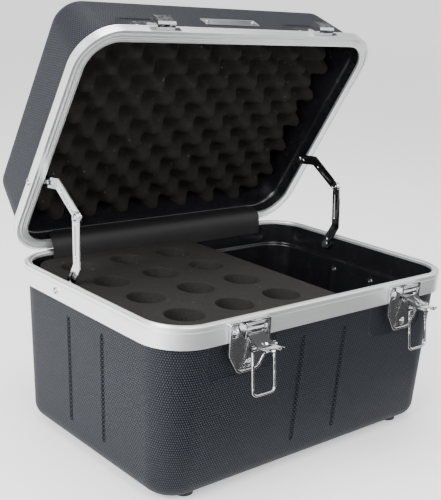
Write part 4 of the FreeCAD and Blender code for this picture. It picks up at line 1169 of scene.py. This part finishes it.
def make_dark_card():
    """A dark card on the floor that only reflections see, as is usual for chrome."""
    bm = bmesh.new()
    corners = ((-0.6, -2.2), (2.2, -2.2), (2.2, -0.2), (-0.6, -0.2))
    bm.faces.new([bm.verts.new((x, y, CARD_LEVEL)) for x, y in corners])
    card = stage_piece(to_mesh(bm, "black_card"), soft_material("black_card", 0.01, 0.9))
    for kind in ("camera", "diffuse", "shadow", "transmission"):
        setattr(card, f"visible_{kind}", False)

def make_sky():
    """A plain sky with soft light and dark patches, for the chrome to reflect."""
    world = bpy.data.worlds.new("studio")
    world.use_nodes = True
    tree = world.node_tree
    way = tree.nodes.new("ShaderNodeTexCoord")
    clouds = tree.nodes.new("ShaderNodeTexNoise")
    clouds.inputs["Scale"].default_value = 2.2
    clouds.inputs["Detail"].default_value = 1.0
    contrast = tree.nodes.new("ShaderNodeMapRange")
    contrast.interpolation_type = "SMOOTHSTEP"
    limits = {"From Min": 0.42, "From Max": 0.58, "To Min": 0.15, "To Max": 1.6}
    for socket, value in limits.items():
        contrast.inputs[socket].default_value = value
    background = tree.nodes["Background"]
    background.inputs["Strength"].default_value = 1.0
    tree.links.new(way.outputs["Generated"], clouds.inputs["Vector"])
    tree.links.new(clouds.outputs["Fac"], contrast.inputs["Value"])
    tree.links.new(contrast.outputs["Result"], background.inputs["Color"])
    bpy.context.scene.world = world

def make_studio():
    make_floor()
    make_dark_card()
    make_sky()
    area_light("key", (-1.9, -0.35, 1.2), (1.3, 1.0), 64)
    area_light("fill", (-0.5, -1.9, 1.5), (0.9, 0.5), 20)
    area_light("top", (0.1, 0.2, 2.0), (1.4, 0.9), 30)

def make_camera():
    """The viewpoint: to the left of the front, a little above the rim, with a slight roll."""
    azimuth, elevation, roll = VIEW_AZIMUTH, VIEW_ELEVATION, VIEW_ROLL
    back = Vector((-math.sin(azimuth) * math.cos(elevation),
                   -math.cos(azimuth) * math.cos(elevation), math.sin(elevation)))
    right = (-back).cross(Vector((0, 0, 1))).normalized()
    upward = right.cross(-back)
    side = right * math.cos(roll) + upward * math.sin(roll)
    top = upward * math.cos(roll) - right * math.sin(roll)
    spot = CASE @ Vector(VIEW_SPOT)
    data = bpy.data.cameras.new("camera")
    data.lens = VIEW_LENS
    data.shift_x, data.shift_y = VIEW_SHIFT
    item = bpy.data.objects.new("camera", data)
    item.matrix_world = Matrix((
        (side.x, top.x, back.x, spot.x),
        (side.y, top.y, back.y, spot.y),
        (side.z, top.z, back.z, spot.z),
        (0, 0, 0, 1),
    ))
    bpy.context.scene.collection.objects.link(item)
    bpy.context.scene.camera = item


make_camera()
dress_cad_nodes()
make_shells()
make_base_foam()
make_lid_foam()
make_hinge_cover()
make_stays()
make_knee_rivets()
make_frame_heads()
make_latch_plates()
make_levers()
make_badge()
make_grip()
make_studio()

bpy.context.view_layer.update()
